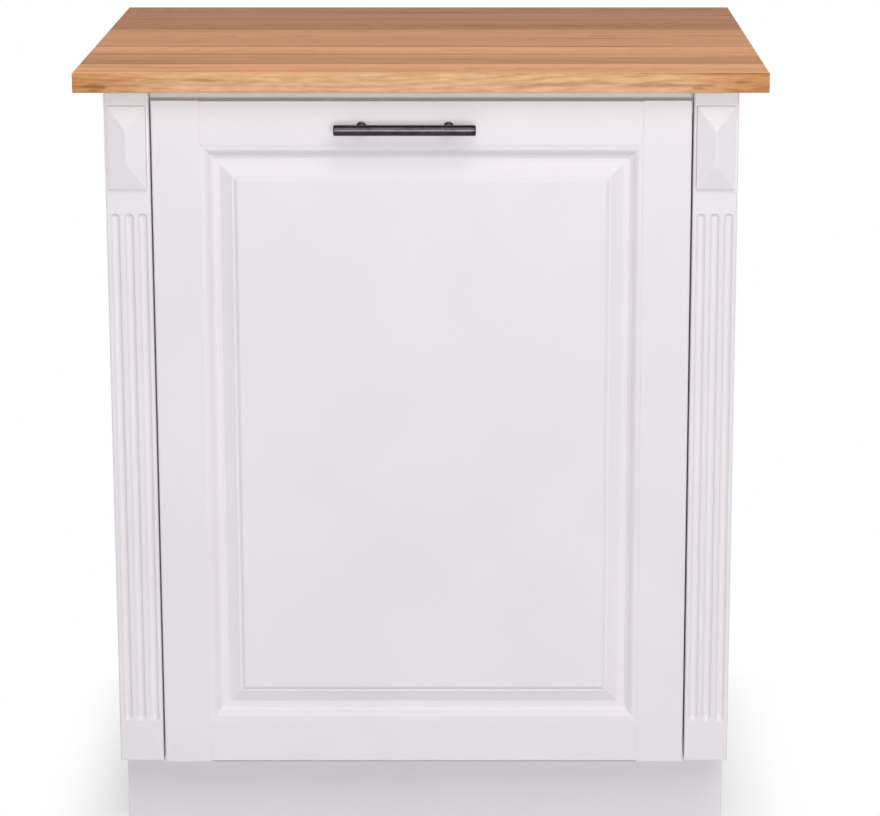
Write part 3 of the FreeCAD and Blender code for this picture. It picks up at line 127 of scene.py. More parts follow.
# --- shader maths
class Signal:
    """A shader socket on which arithmetic adds Math nodes."""

    def __init__(self, bench: "Bench", socket: bpy.types.NodeSocket) -> None:
        """Keep the socket and the bench that it belongs to."""
        self.bench, self.socket = bench, socket

    def maths(self, operation: str, *terms: "Signal | float") -> "Signal":
        """One Math node on up to three terms."""
        return self.bench.node("ShaderNodeMath", {"operation": operation}, *terms)

    def __add__(self, other: "Signal | float") -> "Signal":
        """Sum."""
        return self.maths("ADD", self, other)

    __radd__ = __add__

    def __sub__(self, other: "Signal | float") -> "Signal":
        """Difference."""
        return self.maths("SUBTRACT", self, other)

    def __rsub__(self, other: float) -> "Signal":
        """Difference from a number."""
        return self.maths("SUBTRACT", other, self)

    def __mul__(self, other: "Signal | float") -> "Signal":
        """Product."""
        return self.maths("MULTIPLY", self, other)

    __rmul__ = __mul__

    def __truediv__(self, other: "Signal | float") -> "Signal":
        """Quotient."""
        return self.maths("DIVIDE", self, other)

    def __pow__(self, other: float) -> "Signal":
        """Power."""
        return self.maths("POWER", self, other)

    def __abs__(self) -> "Signal":
        """Size without sign."""
        return self.maths("ABSOLUTE", self)

    def __gt__(self, other: float) -> "Signal":
        """One where the signal is above a number, and nought elsewhere."""
        return self.maths("GREATER_THAN", self, other)

    def at_least(self, floor: float) -> "Signal":
        """The signal, or a number where the signal is below it."""
        return self.maths("MAXIMUM", self, floor)

    def fraction(self) -> "Signal":
        """Part after the decimal point."""
        return self.maths("FRACT", self)

    def step(self, low: float, high: float) -> "Signal":
        """Smooth climb from nought at low to one at high.

        Args:
            low: Value that gives nought.
            high: Value that gives one; below low, the climb is a fall.

        Returns:
            The eased signal.
        """
        return self.bench.node("ShaderNodeMapRange", {"interpolation_type": "SMOOTHSTEP"},
                               self, low, high, 0.0, 1.0)


class Bench:
    """Node tree of a material, or of the world, while it is made."""

    def __init__(self, owner: bpy.types.Material | bpy.types.World,
                 output: str = "ShaderNodeOutputMaterial") -> None:
        """Empty the owner's tree but for an output node.

        Args:
            owner: The material or world.
            output: Blender's type of its output node.
        """
        owner.use_nodes = True
        self.tree = owner.node_tree
        self.tree.nodes.clear()
        self.output = self.tree.nodes.new(output)

    def node(self, kind: str, settings: dict | None = None, *values: object, result: int | str = 0,
             **named: object) -> Signal:
        """Add one node.

        Args:
            kind: Blender's type of node.
            settings: Properties set before the sockets; stops are a ramp's (place, colour) pairs.
            values: Values or signals for the sockets in order; None leaves one as it is.
            result: The output that is handed back.
            named: Values or signals for sockets by name, with _ for a space.

        Returns:
            The chosen output.
        """
        made = self.tree.nodes.new(kind)
        for key, value in (settings or {}).items():
            if key == "stops":
                self.set_stops(made.color_ramp, value)
            elif key == "steps":
                made.color_ramp.interpolation = value
            else:
                setattr(made, key, value)
        for key, value in {**dict(enumerate(values)), **named}.items():
            if value is None:
                continue
            socket = made.inputs[key.replace("_", " ") if isinstance(key, str) else key]
            if isinstance(value, Signal):
                self.tree.links.new(value.socket, socket)
            else:
                socket.default_value = value
        return Signal(self, made.outputs[result])

    @staticmethod
    def set_stops(ramp: bpy.types.ColorRamp, stops: list) -> None:
        """Give a ramp its stops.

        Args:
            ramp: The ramp.
            stops: Its (place, colour) pairs, in order.
        """
        while len(ramp.elements) < len(stops):
            ramp.elements.new(1.0)
        for element, (place, colour) in zip(ramp.elements, stops):
            element.position, element.color = place, colour

    def where(self) -> Signal:
        """Object coordinates, which are the model's own frame."""
        return self.node("ShaderNodeTexCoord", result="Object")

    def facing(self, axis: Axis) -> Signal:
        """Component of the object's own normal along an axis."""
        normal = self.node("ShaderNodeTexCoord", result="Normal")
        return self.part(normal, axis)

    def part(self, vector: Signal, axis: Axis) -> Signal:
        """One component of a vector."""
        return self.node("ShaderNodeSeparateXYZ", None, vector, result=axis.value)

    def stretched(self, vector: Signal, scale: tuple, shift: object = (0.0, 0.0, 0.0)) -> Signal:
        """Vector times a scale along each axis, plus a shift."""
        return self.node("ShaderNodeVectorMath", {"operation": "MULTIPLY_ADD"}, vector, scale,
                         shift)

    def noise(self, vector: Signal, scale: float, detail: float = 2.0,
              roughness: float = 0.5) -> Signal:
        """Fractal noise around one half."""
        return self.node("ShaderNodeTexNoise", None, Vector=vector, Scale=scale, Detail=detail,
                         Roughness=roughness)

    def blend(self, share: "Signal | float", first: object, second: object,
              way: str = "MIX") -> Signal:
        """Colour mixed from two, by a share of the second."""
        return self.node("ShaderNodeMix", {"data_type": "RGBA", "blend_type": way}, share, None,
                         None, None, None, None, first, second, result=2)

    def bump(self, height: Signal, depth: float, strength: float = 1.0) -> Signal:
        """Normal of a height map whose full range is depth, in metres."""
        return self.node("ShaderNodeBump", None, Strength=strength, Distance=depth, Height=height)

    def unlit(self) -> Signal:
        """One for what the camera or a reflection sees, and nought for the light it gives."""
        return (self.node("ShaderNodeLightPath", result="Is Camera Ray")
                + self.node("ShaderNodeLightPath", result="Is Glossy Ray"))

    def finish(self, shader: Signal) -> None:
        """Join a shader to the output."""
        self.tree.links.new(shader.socket, self.output.inputs["Surface"])

    def surface(self, colour: Signal, roughness: Signal, normal: Signal,
                **constants: float) -> None:
        """Join colour, roughness, normal and constants to the one surface shader."""
        self.finish(self.node("ShaderNodeBsdfPrincipled", None, Base_Color=colour,
                              Roughness=roughness, Normal=normal, **constants))


# --- finishes
@dataclass(frozen=True)
class Finish(ABC):
    """A finish of the cabinet, under a name of its own."""

    name: str
    slot: Slot

    @abstractmethod
    def mix(self, bench: Bench) -> None:
        """Build the shader on the bench."""

    def material(self) -> bpy.types.Material:
        """Make the finish's material, once.

        Returns:
            The material.
        """
        if self.name not in bpy.data.materials:
            self.mix(Bench(bpy.data.materials.new(self.name)))
        return bpy.data.materials[self.name]


@dataclass(frozen=True)
class SatinPaint(Finish):
    """Sprayed satin paint: faint clouds of tone, uneven gloss and a fine orange peel."""

    light: Colour = srgb(235, 230, 234)
    dark: Colour = srgb(232, 227, 231)
    roughness: float = 0.40
    clouds: float = 7.0
    sheen: float = 60.0
    peel: float = 620.0
    ripple: float = 150.0

    def mix(self, bench: Bench) -> None:
        """Tone from broad noise, gloss from medium noise, relief from fine noise.

        Args:
            bench: Where the nodes go.
        """
        where = bench.where()
        tone = bench.noise(where, self.clouds, 3.0)
        gloss = bench.noise(where, self.sheen, 2.0)
        peel = bench.noise(where, self.peel, 1.0) + 0.6 * bench.noise(where, self.ripple, 1.0)
        bench.surface(bench.blend(tone.step(0.3, 0.7), self.dark, self.light),
                      self.roughness - 0.05 + 0.1 * gloss, bench.bump(peel, 0.03 * MM, 0.6),
                      Specular_IOR_Level=0.3)


@dataclass(frozen=True)
class Layer:
    """Noise drawn out along the oak's grain: its scale along x and across it."""

    along: float
    across: float
    detail: float = 2.0
    roughness: float = 0.5


@dataclass(frozen=True)
class OakBoards(Finish):
    """Oiled oak boards glued edge to edge; rings, pores and streaks differ from board to board.

    Each board is (front edge y, brightness, y of its pith, depth of its pith).
    """

    light: Colour = srgb(236, 171, 118)
    dark: Colour = srgb(174, 110, 67)
    raw: Colour = srgb(240, 226, 206)
    edge: Colour = (0.92, 1.14, 1.42, 1.0)
    ends: Colour = (0.76, 0.74, 0.65, 1.0)
    # the boards' brightness falls towards the back, so the top grows darker towards the back
    boards: tuple = ((-0.300, 1.16, -0.262, 0.030), (-0.225, 0.79, -0.190, 0.055),
                     (-0.165, 1.09, -0.110, 0.040), (-0.080, 0.87, 0.020, 0.070),
                     (0.075, 0.61, 0.120, 0.045), (0.190, 0.62, 0.275, 0.060))
    front: float = -0.300
    depth: float = 0.610
    top: float = 0.902
    ring: float = 3.4 * MM
    wander: Layer = Layer(2.6, 5.0)
    sway: Layer = Layer(1.3, 2.0, 1.0)
    ragged: Layer = Layer(9.0, 160.0, 3.0)
    fibre: Layer = Layer(22.0, 900.0, 3.0, 0.6)
    pore: Layer = Layer(70.0, 2600.0, 1.0)
    band: Layer = Layer(1.0, 19.0)
    streak: Layer = Layer(1.9, 62.0, 3.0, 0.55)
    fleck: Layer = Layer(13.0, 120.0, 1.0)
    mottle: Layer = Layer(38.0, 260.0, 3.0)
    # width and strength of the painted highlight that makes the top's front rim paler
    rim_width: float = 16.0 * MM
    rim_gain: float = 0.26
    redden: tuple = (1.2, 1.35)

    def board_facts(self, bench: Bench, y: Signal) -> tuple[Signal, Signal, Signal]:
        """Brightness, pith place and pith depth of the board at each y, from a stepped ramp.

        Args:
            bench: Where the nodes go.
            y: The y coordinate.

        Returns:
            Brightness, pith's y and pith's depth, all as signals.
        """
        stops = [((edge - self.front) / self.depth, (bright, pith + 0.5, deep * 5, 1.0))
                 for edge, bright, pith, deep in self.boards]
        facts = bench.node("ShaderNodeValToRGB", {"stops": stops, "steps": "CONSTANT"},
                           (y - self.front) / self.depth)
        bright, pith, deep = (bench.part(facts, axis) for axis in Axis)
        return bright, pith - 0.5, deep / 5

    def mix(self, bench: Bench) -> None:
        """Rings are round a pith that wanders along the board, so that a flat cut shows arches:
        ring number is the distance to the pith over the ring's width, and each ring darkens
        towards its end. Pores and fibres are noise drawn out along x. A dark board is redder, and
        the top's front rim is painted paler: a painted highlight along the front edge.

        Args:
            bench: Where the nodes go.
        """
        where = bench.where()
        x, y, z = (bench.part(where, axis) for axis in Axis)
        bright, pith, deep = self.board_facts(bench, y)
        shift = bench.node("ShaderNodeCombineXYZ", None, pith * 37.0, pith * 11.0, deep * 90.0)

        def drawn(layer: Layer) -> Signal:
            """Noise of a layer, at a place of its own for each board."""
            scale = (layer.along, layer.across, layer.across)
            return bench.noise(bench.stretched(where, scale, shift), 1.0, layer.detail,
                               layer.roughness)

        across = y - pith + (drawn(self.wander) - 0.5) * 0.030
        below = z - self.top + deep + (drawn(self.sway) - 0.5) * 0.11
        radius = (across * across + below * below) ** 0.5
        rings = (radius / self.ring + drawn(self.ragged) * 0.9).fraction()
        late = rings.step(0.35, 0.95) * (1.0 - rings.step(0.95, 1.0))
        fibre = drawn(self.fibre)
        pores = drawn(self.pore).step(0.60, 0.70) * (1.0 - 0.7 * late)
        band, mottle = drawn(self.band) - 0.5, drawn(self.mottle) - 0.5
        streak, fleck = drawn(self.streak).step(0.50, 0.80), drawn(self.fleck).step(0.72, 0.80)
        edge = (0.0 - bench.facing(Axis.Y)).step(0.3, 0.8)
        dark = ((0.34 - 0.12 * edge) * late + 0.30 * (fibre - 0.35) + 0.22 * pores
                + 1.15 * band + 1.0 * streak + 0.7 * fleck + (0.35 + 0.75 * edge) * mottle)
        colour = bench.blend(dark.step(-0.35, 1.15), self.light, self.dark)
        tint = bench.blend(abs(x).step(0.26, 0.37), self.edge, self.ends)
        colour = bench.blend(edge, colour, bench.blend(1.0, colour, tint, "MULTIPLY"))
        under = (0.0 - bench.facing(Axis.Z)).step(0.5, 0.8) * 0.75
        end = abs(bench.facing(Axis.X)).step(0.5, 0.8) * 0.35
        colour = bench.blend(end, colour, self.dark)
        # painted highlight: the top face's strip along the front edge is made paler
        rim = (self.front + self.rim_width - y).step(0.0, self.rim_width / 2) * (1.0 - edge)
        bright = bright * (1.0 + self.rim_gain * rim)
        level = bench.node("ShaderNodeCombineXYZ", None, bright,
                           *(bright ** power for power in self.redden))
        colour = bench.blend(1.0, colour, level, "MULTIPLY")
        colour = bench.blend(under, colour, self.raw)
        relief = 0.5 * fibre - 0.8 * pores - 0.25 * late
        bench.surface(colour, 0.44 + 0.14 * fibre + 0.12 * pores, bench.bump(relief, 0.06 * MM),
                      Specular_IOR_Level=0.072)


@dataclass(frozen=True)
class BirchPly(Finish):
    """Lacquered birch plywood: plain veneer on the faces, plies in turn along the edges."""

    axis: Axis = Axis.X
    ply: float = 1.5 * MM
    veneer: Colour = srgb(226, 200, 160)
    figure: Colour = srgb(210, 178, 134)
    end_ply: Colour = srgb(176, 136, 92)
    glue: Colour = srgb(128, 92, 58)

    def mix(self, bench: Bench) -> None:
        """Veneer where the surface faces along the board's thickness, plies elsewhere: every
        second ply is end grain, with a thin line of glue at each joint.

        Args:
            bench: Where the nodes go.
        """
        where = bench.where()
        grain = {Axis.X: (60.0, 60.0, 4.0), Axis.Y: (60.0, 60.0, 4.0), Axis.Z: (60.0, 4.0, 60.0)}
        swirl = bench.noise(where, 5.0, 2.0)
        figure = bench.noise(bench.stretched(where, grain[self.axis]), 1.0, 4.0, 0.6)
        finer = tuple(9 * scale for scale in grain[self.axis])
        flake = bench.noise(bench.stretched(where, finer), 1.0, 2.0)
        wave = (figure * 5.0 + swirl * 3.0).fraction()
        face = bench.blend(wave.step(0.55, 1.0) * 0.5 + 0.4 * flake, self.veneer, self.figure)
        level = bench.part(where, self.axis) / self.ply
        odd = (level * 0.5).fraction() > 0.5
        joint = abs(level.fraction() - 0.5).step(0.40, 0.48)
        edge = bench.blend(odd * 0.75, self.veneer, self.end_ply)
        edge = bench.blend(joint * 0.7, edge, self.glue)
        edge = bench.blend(0.35 * bench.noise(where, 900.0, 2.0), edge, self.glue)
        flat = abs(bench.facing(self.axis)).step(0.6, 0.8)
        bench.surface(bench.blend(flat, edge, face), 0.5 + 0.15 * flake,
                      bench.bump(figure + flake, 0.04 * MM, 0.7), Specular_IOR_Level=0.3)


@dataclass(frozen=True)
class CoatedBoard(Finish):
    """White melamine board with a fine pearl texture."""

    light: Colour = srgb(240, 238, 238)
    dark: Colour = srgb(237, 235, 235)

    def mix(self, bench: Bench) -> None:
        """Tone from broad noise and a pebbled relief from cells.

        Args:
            bench: Where the nodes go.
        """
        where = bench.where()
        cells = bench.node("ShaderNodeTexVoronoi", {"feature": "SMOOTH_F1"}, Vector=where,
                           Scale=900.0)
        tone = bench.noise(where, 5.0, 3.0)
        bench.surface(bench.blend(tone.step(0.3, 0.7), self.dark, self.light),
                      0.45 + 0.03 * tone, bench.bump(cells, 0.04 * MM, 0.5))


@dataclass(frozen=True)
class Hardboard(Finish):
    """Hardboard: white coating towards the inside, brown pressed fibre towards the wall."""

    white: Colour = srgb(236, 234, 234)
    brown: Colour = srgb(150, 112, 76)
    fibre: Colour = srgb(112, 78, 50)

    def mix(self, bench: Bench) -> None:
        """Fibre speckle at two scales behind, plain white in front.

        Args:
            bench: Where the nodes go.
        """
        where = bench.where()
        coarse, fine = bench.noise(where, 90.0, 4.0), bench.noise(where, 900.0, 3.0)
        brown = bench.blend((0.2 * coarse + 0.9 * fine).step(0.35, 0.75), self.brown, self.fibre)
        inside = (0.0 - bench.facing(Axis.Y)).step(0.4, 0.8)
        bench.surface(bench.blend(inside, brown, self.white), 0.62 + 0.2 * fine,
                      bench.bump(fine, 0.08 * MM, 0.6))


@dataclass(frozen=True)
class Metal(Finish):
    """Metal with a surface drawn along x."""

    light: Colour = srgb(196, 198, 202)
    dark: Colour = srgb(150, 152, 158)
    roughness: float = 0.34
    relief: float = 0.5
    lines: tuple = (45.0, 1500.0, 1500.0)

    def mix(self, bench: Bench) -> None:
        """Fine lines drawn out along x, over broader clouds of tone.

        Args:
            bench: Where the nodes go.
        """
        where = bench.where()
        lines = bench.noise(bench.stretched(where, self.lines), 1.0, 2.0)
        cloud = bench.noise(where, 130.0, 3.0)
        tone = (0.5 * lines + 0.5 * cloud).step(0.35, 0.65)
        bench.surface(bench.blend(tone, self.dark, self.light),
                      self.roughness - 0.06 + 0.14 * cloud,
                      bench.bump(lines, 0.012 * MM, self.relief), Metallic=1.0)


@dataclass(frozen=True)
class Moulded(Finish):
    """Moulded plastic or rubber with a spark-eroded grain."""

    light: Colour = srgb(46, 46, 48)
    dark: Colour = srgb(34, 34, 36)
    roughness: float = 0.55

    def mix(self, bench: Bench) -> None:
        """Grain from fine cells, tone and gloss from noise.

        Args:
            bench: Where the nodes go.
        """
        where = bench.where()
        cells = bench.node("ShaderNodeTexVoronoi", None, Vector=where, Scale=1400.0)
        tone = bench.noise(where, 60.0, 3.0)
        bench.surface(bench.blend(tone, self.dark, self.light), self.roughness - 0.08 + 0.16 * tone,
                      bench.bump(cells, 0.05 * MM, 0.6))


PAINT = SatinPaint("satin_white_paint", Slot.PAINT)
OAK = OakBoards("oiled_oak_boards", Slot.OAK)
BOARD = CoatedBoard("white_coated_board", Slot.BOARD)
BACK = Hardboard("brown_hardboard", Slot.HARDBOARD)
PLY = {axis: BirchPly(f"birch_ply_{axis.name.lower()}", Slot.PLY, axis) for axis in Axis}
DARK_METAL = Metal("dark_satin_metal", Slot.DARK_METAL, srgb(70, 65, 68), srgb(50, 46, 49), 0.20,
                   0.15)
STEEL = Metal("zinc_plated_steel", Slot.STEEL)
PLASTIC = Moulded("black_moulded_plastic", Slot.PLASTIC)
RUBBER = Moulded("grey_rubber", Slot.RUBBER, srgb(70, 70, 72), srgb(56, 56, 58), 0.8)


# --- mesh formulas
def extent(node: str) -> tuple[np.ndarray, np.ndarray]:
    """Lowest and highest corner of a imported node's box."""
    low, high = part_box(node)
    return np.array(low), np.array(high)


def around(segments: int) -> np.ndarray:
    """Angles of a full turn, each once."""
    return np.linspace(0, 2 * np.pi, segments, endpoint=False)


def rounded(corners: np.ndarray, radii: np.ndarray, steps: int = 4) -> np.ndarray:
    """Round the corners of a closed line: each corner becomes an arc between its two tangent
    points, found by turning one radius of the fillet evenly into the other.

    Args:
        corners: One row per corner, in two or three dimensions.
        radii: Fillet radius of each corner; nought keeps it sharp.
        steps: Parts of each arc.

    Returns:
        The line's points, steps + 1 for each corner.
    """
    radii = np.asarray(radii, float)[:, None]
    before, after = np.roll(corners, 1, 0) - corners, np.roll(corners, -1, 0) - corners
    before /= np.linalg.norm(before, axis=1, keepdims=True) + TINY
    after /= np.linalg.norm(after, axis=1, keepdims=True) + TINY
    angle = np.arccos(np.clip((before * after).sum(1, keepdims=True), -1, 1))
    tangent = radii / np.maximum(np.tan(angle / 2), 1e-6)
    middle = before + after
    middle /= np.linalg.norm(middle, axis=1, keepdims=True) + TINY
    centre = corners + middle * radii / np.maximum(np.sin(angle / 2), 1e-6)
    first, last = corners + before * tangent - centre, corners + after * tangent - centre
    turn = (np.pi - angle)[:, None, :]
    share = np.linspace(0, 1, steps + 1)[None, :, None]
    spread = np.maximum(np.sin(turn), 1e-9)
    arc = (np.sin((1 - share) * turn) * first[:, None] + np.sin(share * turn) * last[:, None])
    return (centre[:, None] + arc / spread).reshape(-1, corners.shape[1])


def skin(name: str, grid: np.ndarray, capped: bool = True, sharp: float = 32.0) -> bpy.types.Mesh:
    """Mesh over one or more grids of points whose rows are rings: quads between neighbours, and
    one face over the first and the last row. Doubles at poles and sharp corners are merged.

    Args:
        name: Name of the mesh.
        grid: Points, as rows by columns by 3, or as shells by rows by columns by 3.
        capped: Whether the first and last rows get a face; rows that close by themselves don't.
        sharp: Angle in degrees above which an edge is shaded sharp.

    Returns:
        The mesh, with its faces outwards.
    """
    shells, rows, columns = (1,) * (4 - grid.ndim) + grid.shape[:-1]
    index = np.arange(shells * rows * columns).reshape(shells, rows, columns)
    index = np.concatenate([index, index[..., :1]], -1)
    quads = np.stack([index[:, :-1, :-1], index[:, :-1, 1:], index[:, 1:, 1:],
                      index[:, 1:, :-1]], -1)
    faces = quads.reshape(-1, 4).tolist()
    if capped:
        faces += index[:, 0, -2::-1].tolist() + index[:, -1, :-1].tolist()
    mesh = bpy.data.meshes.new(name)
    mesh.from_pydata(grid.reshape(-1, 3), [], faces)
    return cleaned(mesh, sharp)


def cleaned(mesh: bpy.types.Mesh, sharp: float, flat: float = 0.0) -> bpy.types.Mesh:
    """Merge a mesh's doubles, turn its faces outwards and shade it.

    Args:
        mesh: The mesh, changed in place.
        sharp: Angle in degrees above which an edge is shaded sharp.
        flat: Angle in degrees below which faces are joined into one, or nought.

    Returns:
        The same mesh.
    """
    work = bmesh.new()
    work.from_mesh(mesh)
    bmesh.ops.remove_doubles(work, verts=work.verts, dist=2e-6)
    bmesh.ops.dissolve_degenerate(work, edges=work.edges, dist=1e-6)
    if flat:
        bmesh.ops.dissolve_limit(work, angle_limit=math.radians(flat), verts=work.verts,
                                 edges=work.edges)
    bmesh.ops.recalc_face_normals(work, faces=work.faces)
    work.to_mesh(mesh)
    work.free()
    mesh.shade_smooth()
    mesh.set_sharp_from_angle(angle=math.radians(sharp))
    return mesh


def rings(profile: np.ndarray, steps: int = 4) -> np.ndarray:
    """Grid of rounded rectangles: row k is a rectangle of half sizes u and v with corner radius
    r at level w, each corner a quarter circle.

    Args:
        profile: One row (u, v, w, r) for each ring.
        steps: Parts of each corner.

    Returns:
        Points (u, v, w), as rings by corners.
    """
    half_u, half_v, level, radius = (profile[:, k, None, None] for k in range(4))
    signs = np.array([(1, 1), (-1, 1), (-1, -1), (1, -1)], float)
    turn = np.arange(4)[:, None] * np.pi / 2 + np.linspace(0, np.pi / 2, steps + 1)[None, :]
    u = signs[None, :, :1] * (half_u - radius) + radius * np.cos(turn)
    v = signs[None, :, 1:] * (half_v - radius) + radius * np.sin(turn)
    count = len(profile)
    return np.stack([u.reshape(count, -1), v.reshape(count, -1),
                     np.broadcast_to(level, u.shape).reshape(count, -1)], -1)


def upright(grid: np.ndarray, middle: np.ndarray, face: float, sense: int) -> np.ndarray:
    """Rings stood on edge: u runs along x, v along z, and w from a face along y."""
    return np.stack([middle[0] + grid[..., 0], face + sense * grid[..., 2],
                     middle[2] + grid[..., 1]], -1)


def turned(profile: np.ndarray, origin: tuple, axis: tuple, segments: int = 32,
           swell: np.ndarray | float = 0.0) -> np.ndarray:
    """Grid of a turned shape: each profile point goes round the axis at its radius.

    Args:
        profile: Rows of (distance along the axis, radius).
        origin: Where the axis starts.
        axis: Direction of the axis.
        segments: Points round the axis.
        swell: Extra radius at each point, as rows by segments.

    Returns:
        Points, as profile rows by segments.
    """
    along = Vector(axis).normalized()
    side = along.orthogonal().normalized()
    up = np.array(along.cross(side))
    turn = around(segments)
    spokes = np.cos(turn)[:, None] * np.array(side) + np.sin(turn)[:, None] * up
    radius = profile[:, 1:2] + swell * np.ones((1, segments))
    return (np.array(origin) + profile[:, None, :1] * np.array(along)
            + radius[..., None] * spokes[None])


def turned_profile(corners: list[tuple[float, float, float]], steps: int = 4) -> np.ndarray:
    """Profile of a turned shape from its (along, radius, fillet) corners, from axis to axis."""
    table = np.array(corners, float)
    return rounded(table[:, :2], table[:, 2], steps)


def solids(piece: bpy.types.Object) -> tuple[np.ndarray, np.ndarray]:
    """Lowest and highest corners of each separate solid of a piece: points that share an edge
    take the lowest number among them until nothing changes.

    Args:
        piece: Object with one or more solids.

    Returns:
        Two tables with one row for each solid.
    """
    mesh = piece.data
    points = np.empty(len(mesh.vertices) * 3)
    mesh.vertices.foreach_get("co", points)
    points, same = np.unique(points.reshape(-1, 3).round(6), axis=0, return_inverse=True)
    edges = np.empty(len(mesh.edges) * 2, int)
    mesh.edges.foreach_get("vertices", edges)
    first, second = same.reshape(-1)[edges.reshape(-1, 2)].T
    label = np.arange(len(points))
    changed = True
    while changed:
        lowest = np.minimum(label[first], label[second])
        updated = label.copy()
        np.minimum.at(updated, first, lowest)
        np.minimum.at(updated, second, lowest)
        updated = updated[updated]
        changed = bool((updated != label).any())
        label = updated
    groups = [points[label == number] for number in np.unique(label)]
    return (np.array([group.min(0) for group in groups]),
            np.array([group.max(0) for group in groups]))


# --- workshop
@dataclass
class Workshop:
    """Puts finished meshes in the scene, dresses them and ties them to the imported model."""

    nodes: dict[str, bpy.types.Object]
    sharp: float = 32.0
    flat: float = 0.5
    weight: int = 90

    def place(self, mesh: bpy.types.Mesh, finish: Finish, *stands_for: str,
              body: str | None = None, even: bool = True) -> bpy.types.Object:
        """Show a mesh as one piece.

        Args:
            mesh: The mesh, in its place; the piece takes its name.
            finish: The piece's finish.
            stands_for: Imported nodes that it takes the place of.
            body: The body that it rides on, if that isn't the first node's.
            even: Whether normals are weighted by area, so that flat faces shade evenly.

        Returns:
            The new object.
        """
        piece = bpy.data.objects.new(mesh.name, mesh)
        bpy.context.scene.collection.objects.link(piece)
        mesh.materials.clear()
        mesh.materials.append(finish.material())
        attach(piece, body or self.nodes[stands_for[0]]["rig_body"])
        if stands_for:
            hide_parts(*stands_for)
        if even:
            weighted = piece.modifiers.new("even_shading", "WEIGHTED_NORMAL")
            weighted.keep_sharp, weighted.weight = True, self.weight
        LOG.info("%s: %d faces, %s", piece.name, len(mesh.polygons), finish.name)
        return piece

    def ease(self, node: str, finish: Finish, radius: float) -> None:
        """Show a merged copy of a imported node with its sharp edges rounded.

        Args:
            node: Name of the node.
            finish: The piece's finish.
            radius: Width of the rounding, in metres.
        """
        mesh = self.nodes[node].data.copy()
        mesh.name = f"eased_{node}"
        piece = self.place(cleaned(mesh, self.sharp, self.flat), finish, node, even=False)
        bevel = piece.modifiers.new("eased_edges", "BEVEL")
        bevel.width, bevel.segments = radius, 2
        bevel.limit_method, bevel.angle_limit = "ANGLE", math.radians(self.sharp)
        bevel.harden_normals = True


@dataclass
class SubAssembly(ABC):
    """A group of pieces that is built together."""

    shop: Workshop

    @abstractmethod
    def build(self) -> None:
        """Make and place every piece of the group."""


# --- worktop
@dataclass
class Worktop(SubAssembly):
    """Oak worktop with rounded front edges and eased ends."""

    front_radius: float = 2.0 * MM
    back_radius: float = 0.8 * MM
    end_ease: float = 0.8 * MM

    def build(self) -> None:
        """The section in y and z is carried along x; the rows at the ends are clipped to a box
        that shrinks by the easing, which rounds the end edges."""
        low, high = extent("worktop")
        corners = np.array([(low[1], low[2]), (low[1], high[2]), (high[1], high[2]),
                            (high[1], low[2])])
        radii = [self.front_radius, self.front_radius, self.back_radius, self.back_radius]
        section = rounded(corners, radii, 6)
        turn = np.linspace(0, np.pi / 2, 5)
        shrink = self.end_ease * (1 - np.sin(turn))
        inset = self.end_ease * (1 - np.cos(turn))
        ends = np.concatenate([low[0] + inset, (high[0] - inset)[::-1]])
        shrink = np.concatenate([shrink, shrink[::-1]])[:, None, None]
        rows = np.clip(section[None], low[None, None, 1:] + shrink, high[None, None, 1:] - shrink)
        x = np.broadcast_to(ends[:, None, None], rows.shape[:2] + (1,))
        self.shop.place(skin("oak_worktop", np.concatenate([x, rows], -1)), OAK, "worktop")


